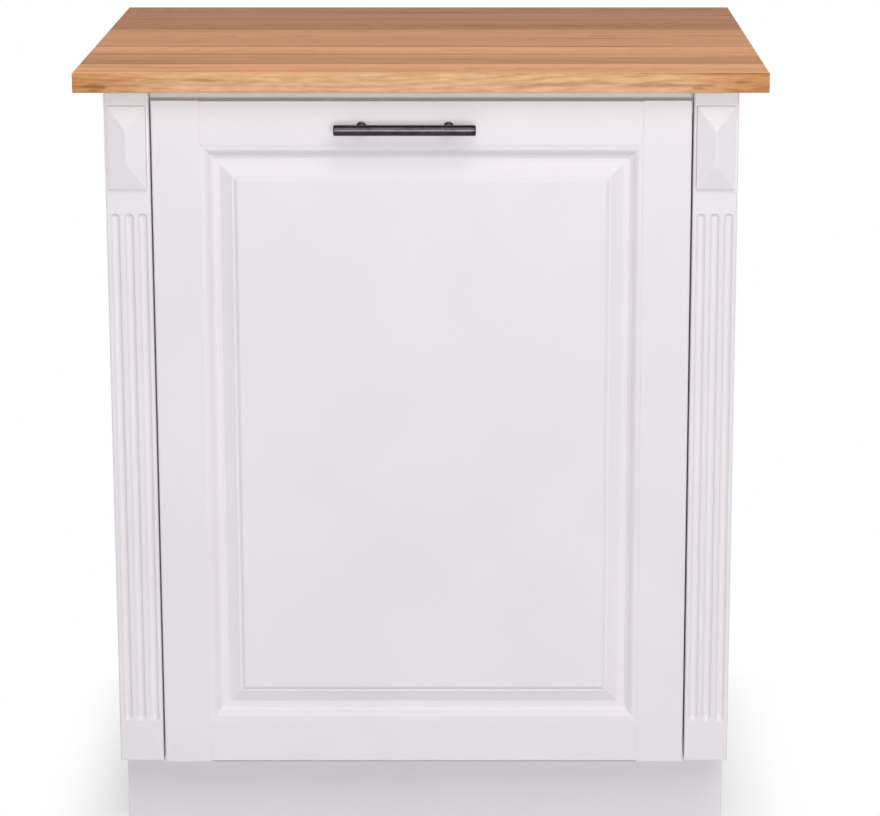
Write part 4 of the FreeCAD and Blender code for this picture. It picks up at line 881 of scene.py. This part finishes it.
# --- pilasters, blocks
@dataclass
class Pilasters(SubAssembly):
    """Two fluted pilasters, each with a pointed block at its top."""

    arris: float = 2.2 * MM
    back_arris: float = 0.3 * MM
    ease: float = 0.6 * MM
    flute_width: float = 10.0 * MM
    flute_depth: float = 3.0 * MM
    flute_pitch: float = 15.3 * MM
    flute_foot: float = 48.0 * MM
    flute_length: float = 593.0 * MM
    flute_rim: float = 1.1 * MM
    rim: float = 0.55 * MM
    block_base: float = 5.0 * MM
    block_ridge: float = 39.0 * MM
    block_ease: float = 0.8 * MM

    def hollow(self, x: np.ndarray, z: np.ndarray) -> np.ndarray:
        """Depth of the flutes: a circle's sag at the distance to the nearest flute's middle line,
        softened at the rim by a smooth maximum with nought.

        Args:
            x: Distance from the pilaster's middle.
            z: Height above the pilaster's foot.

        Returns:
            Depth at every x and z.
        """
        centre = np.clip(np.round(x / self.flute_pitch), -1, 1) * self.flute_pitch
        low = self.flute_foot + self.flute_width / 2
        high = self.flute_foot + self.flute_length - self.flute_width / 2
        past = np.maximum(np.maximum(low - z, z - high), 0)
        radius = (self.flute_width ** 2 / 4 + self.flute_depth ** 2) / (2 * self.flute_depth)
        square = radius ** 2 - (x - centre) ** 2 - past ** 2
        sag = np.sqrt(np.maximum(square, 0)) - (radius - self.flute_depth)
        return (sag + np.sqrt(sag ** 2 + self.rim ** 2)) / 2 - self.rim ** 2 / 12

    def pilaster(self, hand: str) -> None:
        """A closed section (back corners, sides, rounded front edges and the fluted front) is
        carried up in z, and its front follows the flutes' depth. The front's points are put in
        behind the third corner.

        Args:
            hand: Side on which it stands.
        """
        node = f"pilaster_{hand}"
        low, high = extent(node)
        middle, half = (low[0] + high[0]) / 2, (high[0] - low[0]) / 2
        tall = high[2] - low[2]
        corners = np.array([(half, high[1]), (-half, high[1]), (-half, low[1]), (half, low[1])])
        steps = 4
        line = rounded(corners, [self.back_arris] * 2 + [self.arris] * 2, steps)
        across = np.linspace(-1, 1, 25) * (self.flute_width / 2 + self.flute_rim)
        front = (np.arange(-1, 2)[:, None] * self.flute_pitch + across[None]).reshape(-1)
        front = np.stack([np.sort(front), np.full(front.size, low[1])], 1)
        third = 3 * (steps + 1)
        line = np.concatenate([line[:third], front, line[third:]])
        inner = self.flute_width / 2 + 1.5 * MM
        ends = np.linspace(-1.2 * MM, inner, 18)
        top = self.flute_foot + self.flute_length
        shrink = self.ease * EASING
        levels = np.concatenate([shrink[::-1], self.flute_foot + ends,
                                 np.linspace(self.flute_foot + inner, top - inner, 8)[1:-1],
                                 (top - ends)[::-1], tall - shrink])
        shrink = np.concatenate([shrink, np.zeros(len(levels) - 6), shrink[::-1]])
        x = np.broadcast_to(line[None, :, 0], (len(levels), len(line)))
        y = np.broadcast_to(line[None, :, 1], x.shape)
        z = np.broadcast_to(levels[:, None], x.shape)
        on_front = np.isclose(y, low[1], atol=1e-7)
        y = y + np.where(on_front, self.hollow(x, z), 0)
        y = np.maximum(y, low[1] + shrink[:, None])
        x = np.clip(x, -half + shrink[:, None], half - shrink[:, None])
        grid = np.stack([x + middle, y, z + low[2]], -1)
        self.shop.place(skin(f"painted_{node}", grid, sharp=50), PAINT, node)

    def block(self, hand: str) -> None:
        """Rings of shrinking rectangles: eased foot and base edge, then straight slopes to the
        upright ridge, which is a last narrow ring.

        Args:
            hand: Side on which it sits.
        """
        node = f"block_{hand}"
        low, high = extent(node)
        middle, half = (low + high) / 2, (high - low) / 2
        ease, tip = self.block_ease, 0.5 * MM
        rise = high[1] - low[1]
        slope_u, slope_v = half[0] - tip, half[2] - self.block_ridge / 2
        drop = rise - self.block_base
        profile = [(half[0], half[2], 0.0, 0.4 * MM),
                   (half[0], half[2], self.block_base - ease, 0.5 * MM),
                   (half[0] - 0.12 * ease, half[2] - 0.12 * ease, self.block_base - 0.35 * ease,
                    0.7 * MM),
                   (half[0] - 0.5 * ease, half[2] - 0.5 * ease, self.block_base + 0.05 * ease,
                    0.9 * MM),
                   (half[0] - ease, half[2] - ease, self.block_base + ease * drop / slope_v,
                    0.9 * MM)]
        shares = np.array([0.25, 0.5, 0.75, 0.93, 1.0])
        sink = np.array([0, 0, 0, 0, 0.25 * MM])
        profile += [(half[0] - slope_u * share, half[2] - slope_v * share,
                     self.block_base + drop * share - less, 0.45 * MM)
                    for share, less in zip(shares, sink)]
        grid = upright(rings(np.array(profile)), middle, high[1], -1)
        self.shop.place(skin(f"painted_{node}", grid, sharp=60), PAINT, node)

    def build(self) -> None:
        """Both pilasters and both blocks."""
        for hand, _ in SIDES:
            self.pilaster(hand)
            self.block(hand)


# --- raised-panel front
@dataclass
class RaisedFront(SubAssembly):
    """Stiles and rails with an ogee moulding, and the raised panel between them."""

    stile_flat: float = 53.5 * MM
    rail_flat: float = 50.0 * MM
    quirk: float = 1.0 * MM
    fillet: float = 4.5 * MM
    ogee_width: float = 9.5 * MM
    ogee_drop: float = 6.0 * MM
    ogee_flat: float = 0.6
    groove: float = 8.5 * MM
    groove_width: float = 7.0 * MM
    groove_depth: float = 10.0 * MM
    thickness: float = 22.0 * MM
    arris: float = 2.2 * MM
    ease: float = 0.35 * MM
    panel_float: float = 1.5 * MM
    valley: float = 7.0 * MM
    bevel: float = 13.5 * MM
    bead: float = 2.0 * MM
    bead_depth: float = 3.2 * MM
    field_step: float = 4.0 * MM
    field_depth: float = 0.8 * MM

    @property
    def lip(self) -> float:
        """Width of the moulding from the sight edge to its lip."""
        return self.fillet + self.ogee_width

    def ogee(self, steps: int = 14) -> tuple[np.ndarray, np.ndarray]:
        """Two equal arcs, the first falling away from the fillet and the second running level
        again: each arc's depth is its radius less the height of the circle. Sanding and paint
        have flattened them, so a share of the straight line between the ends is mixed in.

        Args:
            steps: Parts of the whole curve.

        Returns:
            Distance from the sight edge and depth below the face.
        """
        along = np.linspace(0, self.ogee_width, steps + 1)
        radius = (self.ogee_width ** 2 + self.ogee_drop ** 2) / (4 * self.ogee_drop)
        near = np.minimum(along, self.ogee_width - along)
        sag = radius - np.sqrt(radius ** 2 - near ** 2)
        fall = np.where(along < self.ogee_width / 2, sag, self.ogee_drop - sag)
        fall += self.ogee_flat * (along / self.ogee_width * self.ogee_drop - fall)
        return self.fillet + along, self.quirk + fall

    def section(self, flat: float, coped: bool) -> np.ndarray:
        """Closed section of a stile or rail.

        Args:
            flat: Width of its flat face.
            coped: Whether its ends are scribed over another length of the same moulding.

        Returns:
            Rows of (distance from the outer edge, depth, reach of the other moulding).
        """
        away, depth = self.ogee()
        lip, back = flat + self.lip, self.groove + self.groove_width
        reach = self.lip
        rows = [(0, 0, 0, self.arris), (flat, 0, 0, self.ease), (flat, self.quirk, 0, 0)]
        rows += [(flat, self.quirk, self.fillet, 0)] * coped
        rows += [(flat + a, d, a, 0) for a, d in zip(away, depth)]
        rows += [(lip, self.groove, reach, 0), (lip - self.groove_depth, self.groove, reach, 0),
                 (lip - self.groove_depth, back, reach, 0), (lip, back, reach, 0),
                 (lip, self.thickness, reach, 0), (0, self.thickness, reach, 0)]
        if coped:
            rows += [(0, d, a, 0) for a, d in zip(away[::-1], depth[::-1])]
            rows += [(0, self.quirk, 0, 0)]
        table = np.array(rows, float)
        return rounded(table[:, :3], table[:, 3], 4)

    def end_rows(self) -> tuple[np.ndarray, np.ndarray]:
        """Inset and least depth of the three rows that ease an end."""
        return self.ease * EASING[::-1], self.ease * EASING

    def stile(self, hand: str, side: int) -> None:
        """The section is carried up in z; at both ends the face dips by the easing.

        Args:
            hand: Which stile.
            side: Its side of the middle, -1 or 1.
        """
        node = f"door_stile_{hand}"
        low, high = extent(node)
        line = self.section(self.stile_flat, False)
        inset, least = self.end_rows()
        levels = np.concatenate([low[2] + inset, (high[2] - inset)[::-1]])
        least = np.concatenate([least, least[::-1]])[:, None]
        outer = high[0] if side > 0 else low[0]
        x = np.broadcast_to(outer - side * line[None, :, 0], (6, len(line)))
        y = low[1] + np.maximum(line[None, :, 1], least)
        z = np.broadcast_to(levels[:, None], x.shape)
        self.shop.place(skin(f"painted_stile_{hand}", np.stack([x, y, z], -1)), PAINT, node)

    def rail(self, name: str, upwards: int) -> None:
        """The section is carried along x between the stiles; each point stops where the stile's
        moulding starts at its depth, so the mouldings meet in a mitre. A last row that runs
        straight across to the outer edge closes each scribed end.

        Args:
            name: Which rail.
            upwards: Way that its section runs from its outer edge, 1 up or -1 down.
        """
        node = f"door_rail_{name}"
        low, high = extent(node)
        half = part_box("door_stile_right")[1][0] - self.stile_flat
        line = self.section(self.rail_flat, True)
        inset, least = self.end_rows()
        inset, least = np.append(0, inset)[:, None], np.append(least[0], least)[:, None]
        ends = half - line[None, :, 2] - inset * (line[None, :, 2] < 1e-6)
        x = np.concatenate([-ends, ends[::-1]])
        y = low[1] + np.maximum(line[None, :, 1], np.concatenate([least, least[::-1]]))
        outer = low[2] if upwards > 0 else high[2]
        across = np.broadcast_to(line[None, :, 0], x.shape).copy()
        across[[0, -1]] = 0
        grid = np.stack([x, y, outer + upwards * across], -1)
        self.shop.place(skin(f"painted_rail_{name}", grid, capped=False), PAINT, node)
        self.tongues(name, low, high)

    def tongues(self, name: str, low: np.ndarray, high: np.ndarray) -> None:
        """Tongues of a rail, which fill the grooves of both stiles: boxes as high as the rail,
        less the easing of its ends.

        Args:
            name: Which rail.
            low: Lower corner of the rail's box.
            high: Upper corner of the rail's box.
        """
        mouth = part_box("door_stile_right")[1][0] - self.stile_flat - self.lip
        size = (self.groove_depth / 2, self.groove_width / 2)
        grid = rings(np.array([(*size, low[2] + self.ease / 2, 0.1 * MM),
                               (*size, high[2] - self.ease / 2, 0.1 * MM)]), 1)
        middle = np.array([mouth + size[0], low[1] + self.groove + size[1], 0])
        shells = np.stack([grid + middle * (side, 1, 1) for _, side in SIDES])
        self.shop.place(skin(f"rail_tongues_{name}", shells), PAINT, f"door_rail_{name}")

    def panel(self) -> None:
        """Rings that step inwards from the panel's edge: valley, bevel, bead, step and field,
        with each change of slope rounded; the field and the back are one face each. The last
        corner only shows which way the field runs, and is left out again."""
        low, high = extent("door_panel")
        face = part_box("door_stile_right")[0][1]
        edge = self.groove_depth - self.panel_float
        bead = edge + self.valley + self.bevel
        corners = np.array([(0, self.groove + self.groove_width), (0, self.groove),
                            (edge + self.valley, self.groove), (bead, self.bead_depth),
                            (bead + self.bead, self.bead_depth),
                            (bead + self.bead + self.field_step, self.field_depth),
                            (bead + 30 * MM, self.field_depth)])
        steps = 4
        line = rounded(corners, np.array([0, 0, 2.5, 1.2, 1.4, 2.6, 0]) * MM, steps)
        line = line[:-(steps + 1)]
        half = (high - low) / 2
        radius = np.full(len(line), 0.7 * MM)
        profile = np.stack([half[0] - line[:, 0], half[2] - line[:, 0], line[:, 1], radius], 1)
        grid = upright(rings(profile, 3), (low + high) / 2, face, 1)
        self.shop.place(skin("painted_raised_panel", grid, sharp=40), PAINT, "door_panel")

    def build(self) -> None:
        """Both stiles, both rails and the panel."""
        for hand, side in SIDES:
            self.stile(hand, side)
        self.rail("top", -1)
        self.rail("bottom", 1)
        self.panel()


# --- handle
@dataclass
class Handle(SubAssembly):
    """Bar handle with two collared posts."""

    end_round: float = 1.5 * MM
    shaft_radius: float = 4.0 * MM
    collar_length: float = 2.0 * MM

    def build(self) -> None:
        """Bar and posts are turned shapes with rounded ends and collars."""
        low, high = extent("handle_bar")
        radius, length = (high[2] - low[2]) / 2, high[0] - low[0]
        middle = (low + high) / 2
        bar = turned_profile([(0, 0, 0), (0, radius, self.end_round),
                              (length, radius, self.end_round), (length, 0, 0)], 6)
        grid = turned(bar, (low[0], middle[1], middle[2]), (1, 0, 0), 48)
        self.shop.place(skin("satin_bar", grid), DARK_METAL, "handle_bar")
        for hand, _ in SIDES:
            node = f"handle_post_{hand}"
            low, high = extent(node)
            collar = (high[0] - low[0]) / 2
            reach = high[1] - middle[1]
            profile = turned_profile([(0, 0, 0), (0, collar, 0.2 * MM),
                                      (self.collar_length, collar, 0.6 * MM),
                                      (self.collar_length, self.shaft_radius, 0.5 * MM),
                                      (reach, self.shaft_radius, 0), (reach, 0, 0)])
            grid = turned(profile, ((low[0] + high[0]) / 2, high[1], middle[2]), (0, -1, 0), 40)
            self.shop.place(skin(f"satin_post_{hand}", grid), DARK_METAL, node)


# --- carcass
@dataclass
class Carcass(SubAssembly):
    """Boards, rails, posts and plinth with eased edges, and the back panel."""

    board_ease: float = 0.7 * MM
    paint_ease: float = 1.0 * MM

    def build(self) -> None:
        """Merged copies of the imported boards, with their edges rounded."""
        for node in ("side_left", "side_right", "bottom_board", "front_rail", "rear_rail",
                     "post_left", "post_right"):
            self.shop.ease(node, BOARD, self.board_ease)
        self.shop.ease("plinth_board", PAINT, self.paint_ease)
        self.shop.ease("back_panel", BACK, 0.3 * MM)
        for node in ("worktop_angles", "stop_stud_left", "stop_stud_right"):
            self.shop.ease(node, STEEL, 0.2 * MM)
        self.shop.ease("door_bumpers", RUBBER, 0.3 * MM)
        for hand, _ in SIDES:
            self.shop.ease(f"catch_{hand}", PLASTIC, 0.5 * MM)


# --- tilting bin
@dataclass
class TiltingBin(SubAssembly):
    """Plywood bin, quadrant stays, strike plates and hinges."""

    ply_ease: float = 0.8 * MM
    steel_ease: float = 0.25 * MM

    def build(self) -> None:
        """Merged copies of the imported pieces, with their edges rounded."""
        plies = {Axis.X: ("bin_side_left", "bin_side_right", "bin_divider"),
                 Axis.Y: ("bin_front", "bin_back"), Axis.Z: ("bin_bottom",)}
        for axis, nodes in plies.items():
            for node in nodes:
                self.shop.ease(node, PLY[axis], self.ply_ease)
        for hand, _ in SIDES:
            for node in ("stay", "strike", "hinge_leaf_fixed", "hinge_leaf_door", "hinge_pin"):
                self.shop.ease(f"{node}_{hand}", STEEL, self.steel_ease)


# --- screws
@dataclass(frozen=True)
class ScrewKind:
    """A cross-recessed screw. A pan head has a rim; a sunk one narrows to its shank instead. The
    cross's reach, half width and depth (recess, arm and drive) are shares of the head's radius."""

    head: float
    rise: float
    rim: float
    shank: float
    length: float
    sunk: bool = False
    recess: float = 0.58
    arm: float = 0.15
    drive: float = 0.45
    segments: int = 48

    def points(self) -> np.ndarray:
        """Rings about the w axis from the middle of the drive to the tip: a dome that falls with
        the square of the radius, the rim and the shank. The drive is a cross whose arms grow
        shallower outwards. A pan head's underside, or a sunk head's edge, lies at w = 0.

        Returns:
            Points (u, v, w) as rows by segments.
        """
        share = np.append(np.linspace(0, 0.7, 13), [0.8, 0.88, 0.94, 0.98, 1.0])[:, None]
        turn = around(self.segments)[None]
        u, v = share * np.cos(turn), share * np.sin(turn)
        near = np.minimum(np.abs(u), np.abs(v))
        far = np.maximum(np.abs(u), np.abs(v))
        inside = np.clip((self.arm - near) / 0.05, 0, 1) * np.clip((self.recess - far) / 0.08, 0, 1)
        foot = 0.0 if self.sunk else self.rim
        sink = inside * (1 - 0.8 * far) * self.drive * self.head
        top = foot + self.rise * (1 - share ** 2) - sink
        under = [(self.shank, -self.rim)] if self.sunk else [(self.head, 0), (self.shank, 0)]
        end = under[-1][1] - self.length
        below = np.array(under + [(self.shank, end), (0, end)])
        radii = np.concatenate([share[:, 0] * self.head, below[:, 0]])[:, None]
        level = np.concatenate([top, np.repeat(below[:, 1:], self.segments, 1)])
        return np.stack([radii * np.cos(turn), radii * np.sin(turn), level], -1)


@dataclass
class Screws(SubAssembly):
    """Cross-recessed screws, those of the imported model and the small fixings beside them."""

    wood_screw: ScrewKind = ScrewKind(4 * MM, 0.9 * MM, 1.1 * MM, 2 * MM, 23 * MM)
    handle_screw: ScrewKind = ScrewKind(4 * MM, 1.1 * MM, 1.4 * MM, 2 * MM, 32 * MM)
    top_screw: ScrewKind = ScrewKind(4 * MM, 0.9 * MM, 1.1 * MM, 2 * MM, 44 * MM)
    hinge_screw: ScrewKind = ScrewKind(3.2 * MM, 0, 1.5 * MM, 1.7 * MM, 14 * MM, True)
    fixing: ScrewKind = ScrewKind(3.3 * MM, 0.8 * MM, 0.8 * MM, 1.6 * MM, 9 * MM)
    small_fixing: ScrewKind = ScrewKind(2.4 * MM, 0.6 * MM, 0.7 * MM, 1.3 * MM, 8 * MM)
    plate_fixing: ScrewKind = ScrewKind(2.2 * MM, 0.1 * MM, 0.9 * MM, 1.2 * MM, 8 * MM, True)
    socket_reach: float = 15.5 * MM
    socket_flange: float = 4.0 * MM
    ear_inset: float = 4.0 * MM
    ear_height: float = 3.0 * MM
    strike_inset: float = 2.6 * MM
    stay_reach: float = 9.0 * MM
    stay_drops: tuple = (10.0 * MM, 35.0 * MM)
    sheet: float = 2.0 * MM
    angle_reach: float = 11.0 * MM
    angle_spread: float = 12.0 * MM

    def row(self, name: str, kind: ScrewKind, places: np.ndarray, axis: Axis, sense: int,
            *stands_for: str, body: Body | None = None) -> None:
        """Copies of one screw as one piece.

        Args:
            name: Name of the piece.
            kind: The screw.
            places: Where each screw's seat is.
            axis: Axis that the screws lie along.
            sense: Way along it that the heads face, 1 or -1.
            stands_for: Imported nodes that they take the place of.
            body: Body that they ride on, if they stand for no node.
        """
        unit = np.eye(3)
        basis = np.stack([unit[(axis.value + 1) % 3], unit[(axis.value + 2) % 3],
                          sense * unit[axis.value]])
        grid = np.asarray(places, float)[:, None, None, :] + (kind.points() @ basis)[None]
        mesh = skin(name, grid, capped=False, sharp=40)
        self.shop.place(mesh, STEEL, *stands_for, body=body.value if body else None)

    def packed(self, node: str, kind: ScrewKind, axis: Axis, sense: int) -> None:
        """Take the place of a packed group of screws: each seat lies in the middle of its solid,
        and below the head along the axis.

        Args:
            node: The group's node.
            kind: The screw.
            axis: Axis that the screws lie along.
            sense: Way along it that the heads face.
        """
        low, high = solids(self.shop.nodes[node])
        places = (low + high) / 2
        outer = high if sense > 0 else low
        height = 0 if kind.sunk else kind.rise + kind.rim
        places[:, axis.value] = outer[:, axis.value] - sense * height
        self.row(f"driven_{node}", kind, places, axis, sense, node)

    def build(self) -> None:
        """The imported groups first, then the small fixings: round the tube of each socket, in the
        ears of the catches, on the flanges of the stays, on the strike plates and the angles."""
        for node, kind, axis, sense in (
                ("bin_screws", self.wood_screw, Axis.Y, 1),
                ("handle_screws", self.handle_screw, Axis.Y, 1),
                ("worktop_screws", self.top_screw, Axis.Z, -1),
                ("hinge_screws_fixed", self.hinge_screw, Axis.Y, -1),
                ("hinge_screws_door", self.hinge_screw, Axis.Y, 1)):
            self.packed(node, kind, axis, sense)
        corners = np.array([(1, 1), (1, -1), (-1, 1), (-1, -1)])
        seats = []
        for place in FEET:
            low, high = extent(f"leg_socket_{place}")
            middle = (low + high)[:2] / 2 + corners * self.socket_reach
            seats.append(np.column_stack([middle, np.full(4, high[2] - self.socket_flange)]))
        self.row("socket_screws", self.fixing, np.concatenate(seats), Axis.Z, -1,
                 body=Body.CABINET)
        for hand, side in SIDES:
            low, high = extent(f"catch_{hand}")
            ears = [(x, (low[1] + high[1]) / 2, high[2] - self.ear_height)
                    for x in (low[0] + self.ear_inset, high[0] - self.ear_inset)]
            self.row(f"catch_screws_{hand}", self.small_fixing, ears, Axis.Z, -1,
                     body=Body.CABINET)
            low, high = extent(f"strike_{hand}")
            ends = [(x, high[1], (low[2] + high[2]) / 2)
                    for x in (low[0] + self.strike_inset, high[0] - self.strike_inset)]
            self.row(f"strike_screws_{hand}", self.plate_fixing, ends, Axis.Y, 1,
                     body=Body.FRONT)
            low, high = extent(f"stay_{hand}")
            inner = high[0] if side < 0 else low[0]
            flange = [(inner + side * self.stay_reach, low[1] + self.sheet, high[2] - drop)
                      for drop in self.stay_drops]
            self.row(f"stay_screws_{hand}", self.fixing, flange, Axis.Y, 1, body=Body.FRONT)
        low, high = solids(self.shop.nodes["worktop_angles"])
        across = np.array([(-self.angle_spread, 0, 0), (self.angle_spread, 0, 0)])
        middle = (low + high) / 2
        upright = np.column_stack([middle[:, 0], high[:, 1] - self.sheet,
                                   low[:, 2] + self.angle_reach])
        level = np.column_stack([middle[:, 0], low[:, 1] + self.angle_reach,
                                 high[:, 2] - self.sheet])
        for name, seats, axis in (("angle_screws_upright", upright, Axis.Y),
                                  ("angle_screws_level", level, Axis.Z)):
            seats = (seats[:, None] + across[None]).reshape(-1, 3)
            self.row(name, self.fixing, seats, axis, -1, body=Body.CABINET)


# --- legs
@dataclass
class Legs(SubAssembly):
    """Adjustable feet with a knurled ring and a threaded stem, their sockets and the clips."""

    pad_height: float = 8.0 * MM
    ring_radius: float = 12.0 * MM
    ring_top: float = 29.7 * MM
    stem_radius: float = 9.0 * MM
    ribs: int = 20
    rib_depth: float = 0.8 * MM
    thread_pitch: float = 4.0 * MM
    thread_depth: float = 0.9 * MM
    segments: int = 80

    def foot(self, place: str) -> None:
        """A turned shape whose ring has ribs, as a cosine of the angle, and whose stem has a
        thread, as a triangle wave of height less angle. The pad's line stops where the rounding
        of its last corner would start.

        Args:
            place: Which foot.
        """
        node = f"foot_{place}"
        low, high = extent(node)
        pad, top = (high[0] - low[0]) / 2, high[2] - low[2]
        lower = turned_profile([(0, 0, 0), (0, pad, 0.8 * MM), (self.pad_height, pad, 2 * MM),
                                (self.pad_height, self.ring_radius, 1.5 * MM)])[:-4]
        ring = np.linspace(self.pad_height + 2 * MM, self.ring_top, 8)[:, None]
        ring = np.hstack([ring, np.full_like(ring, self.ring_radius)])
        stem = np.linspace(self.ring_top, top - 0.5 * MM, 84)[:, None]
        stem = np.hstack([stem, np.full_like(stem, self.stem_radius)])
        last = np.array([(top, self.stem_radius - 1.5 * MM), (top, 0)])
        profile = np.concatenate([lower, ring, stem, last])
        turn = around(self.segments)[None]
        height = profile[:, :1]
        on_ring = ((height > self.pad_height + 2.5 * MM) & (height < self.ring_top - 0.5 * MM)
                   & (profile[:, 1:] > self.stem_radius + 1 * MM))
        on_stem = (height > self.ring_top + 0.5 * MM) & (height < top - 1.5 * MM)
        ribs = -self.rib_depth * (0.5 - 0.5 * np.cos(self.ribs * turn)) * on_ring
        wave = (height / self.thread_pitch - turn / (2 * np.pi)) % 1
        thread = -self.thread_depth * np.abs(2 * wave - 1) * on_stem
        middle = (low + high) / 2
        grid = turned(profile, (middle[0], middle[1], low[2]), (0, 0, 1), self.segments,
                      ribs + thread)
        self.shop.place(skin(f"ribbed_{node}", grid, sharp=45), PLASTIC, node)

    def build(self) -> None:
        """Feet, sockets and clips."""
        for place in FEET:
            self.foot(place)
            self.shop.ease(f"leg_socket_{place}", PLASTIC, 0.6 * MM)
        for hand, _ in SIDES:
            self.shop.ease(f"plinth_clip_{hand}", PLASTIC, 0.5 * MM)


# --- studio
@dataclass
class Studio:
    """Pale floor that turns to white away from the cabinet, soft lamps and the camera."""

    place: tuple = (0.059, -3.760, 1.388)
    tilt: float = 13.43
    focal: float = 3200.0
    centre: tuple = (475.0, 378.0)
    frame: tuple = (880, 816)
    footprint: tuple = (0.350, 0.280)
    reach: float = 30.0
    fade: float = 0.11
    pale: float = 0.5
    ground: Colour = srgb(250, 249, 250)
    bounce: Colour = srgb(170, 169, 170)
    ambient: float = 0.192
    lamps: tuple = (("front", (0.5, -7.2, 1.3), (0, -0.2, 0.6), 2.4, 234.0),
                    ("key", (0.9, -5.0, 4.85), (0, -0.2, 0.5), 3.6, 142.0),
                    ("rear", (0.6, 5.0, 3.0), (0, 0.2, 0.5), 3.0, 120.0, False),
                    ("left", (-5.4, 1.4, 2.4), (0, 0.0, 0.5), 2.4, 100.0, False),
                    ("right", (5.4, 1.4, 2.4), (0, 0.0, 0.5), 2.4, 100.0, False))

    def floor(self) -> None:
        """A large square; its shader turns from part lit, part plain white to wholly plain
        white with the distance to the cabinet's footprint. It throws little light back up."""
        corners = [(x * self.reach, y * self.reach, 0)
                   for x, y in ((-1, -1), (1, -1), (1, 1), (-1, 1))]
        mesh = bpy.data.meshes.new("studio_floor")
        mesh.from_pydata(corners, [], [(0, 1, 2, 3)])
        floor = bpy.data.objects.new("studio_floor", mesh)
        bpy.context.scene.collection.objects.link(floor)
        mesh.materials.append(bpy.data.materials.new("pale_floor"))
        bench = Bench(mesh.materials[0])
        where = bench.where()
        x, y = ((abs(bench.part(where, axis)) - half).at_least(0.0)
                for axis, half in zip(Axis, self.footprint))
        away = (x * x + y * y) ** 0.5
        share = (self.pale + (1 - self.pale) * away.step(0.0, self.fade)) * bench.unlit()
        seen = bench.node("ShaderNodeLightPath", result="Is Camera Ray")
        lit = bench.node("ShaderNodeBsdfDiffuse", None, bench.blend(seen, self.bounce, self.ground))
        plain = bench.node("ShaderNodeEmission", None, WHITE, 1.0)
        bench.finish(bench.node("ShaderNodeMixShader", None, share, lit, plain))

    def world(self) -> None:
        """Even pale light, and plain white where the camera or a reflection sees past the
        floor."""
        world = bpy.data.worlds.new("studio_world")
        bench = Bench(world, "ShaderNodeOutputWorld")
        strength = self.ambient + (1 - self.ambient) * bench.unlit()
        bench.finish(bench.node("ShaderNodeBackground", None, WHITE, strength))
        bpy.context.scene.world = world

    def lamp(self, name: str, place: tuple, aim: tuple, size: float, power: float,
             mirrored: bool = True) -> None:
        """One square area lamp.

        Args:
            name: Name of the lamp.
            place: Where it hangs.
            aim: The point that it faces.
            size: Side of its square.
            power: Its power in watts.
            mirrored: Whether glossy surfaces reflect it.
        """
        data = bpy.data.lights.new(name, "AREA")
        data.size, data.energy = size, power
        lamp = bpy.data.objects.new(name, data)
        lamp.location, lamp.visible_glossy = place, mirrored
        lamp.rotation_euler = (Vector(aim) - Vector(place)).to_track_quat("-Z", "Y").to_euler()
        bpy.context.scene.collection.objects.link(lamp)

    def camera(self) -> None:
        """Camera at the photograph's angle; its shift moves the picture's centre to the point
        that the perspective was fitted with."""
        data = bpy.data.cameras.new("camera")
        width, height = self.frame
        data.sensor_width = 36.0
        data.lens = self.focal * data.sensor_width / width
        data.shift_x = (width / 2 - self.centre[0]) / width
        data.shift_y = (self.centre[1] - height / 2) / width
        data.clip_end = 100.0
        camera = bpy.data.objects.new("camera", data)
        camera.location = self.place
        camera.rotation_euler = (math.radians(90 - self.tilt), 0, 0)
        bpy.context.scene.collection.objects.link(camera)
        bpy.context.scene.camera = camera

    def build(self) -> None:
        """Floor, world, lamps, camera and plain colours."""
        self.floor()
        self.world()
        for lamp in self.lamps:
            self.lamp(*lamp)
        self.camera()
        bpy.context.scene.view_settings.view_transform = "Standard"


def main() -> None:
    """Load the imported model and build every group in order."""
    logging.basicConfig(level=logging.INFO, format="%(name)s: %(message)s")
    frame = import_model()
    shop = Workshop(frame["nodes"])
    Studio().build()
    for group in (Worktop, Pilasters, RaisedFront, Handle, Carcass, TiltingBin, Screws, Legs):
        group(shop).build()


if __name__ == "__main__":
    main()
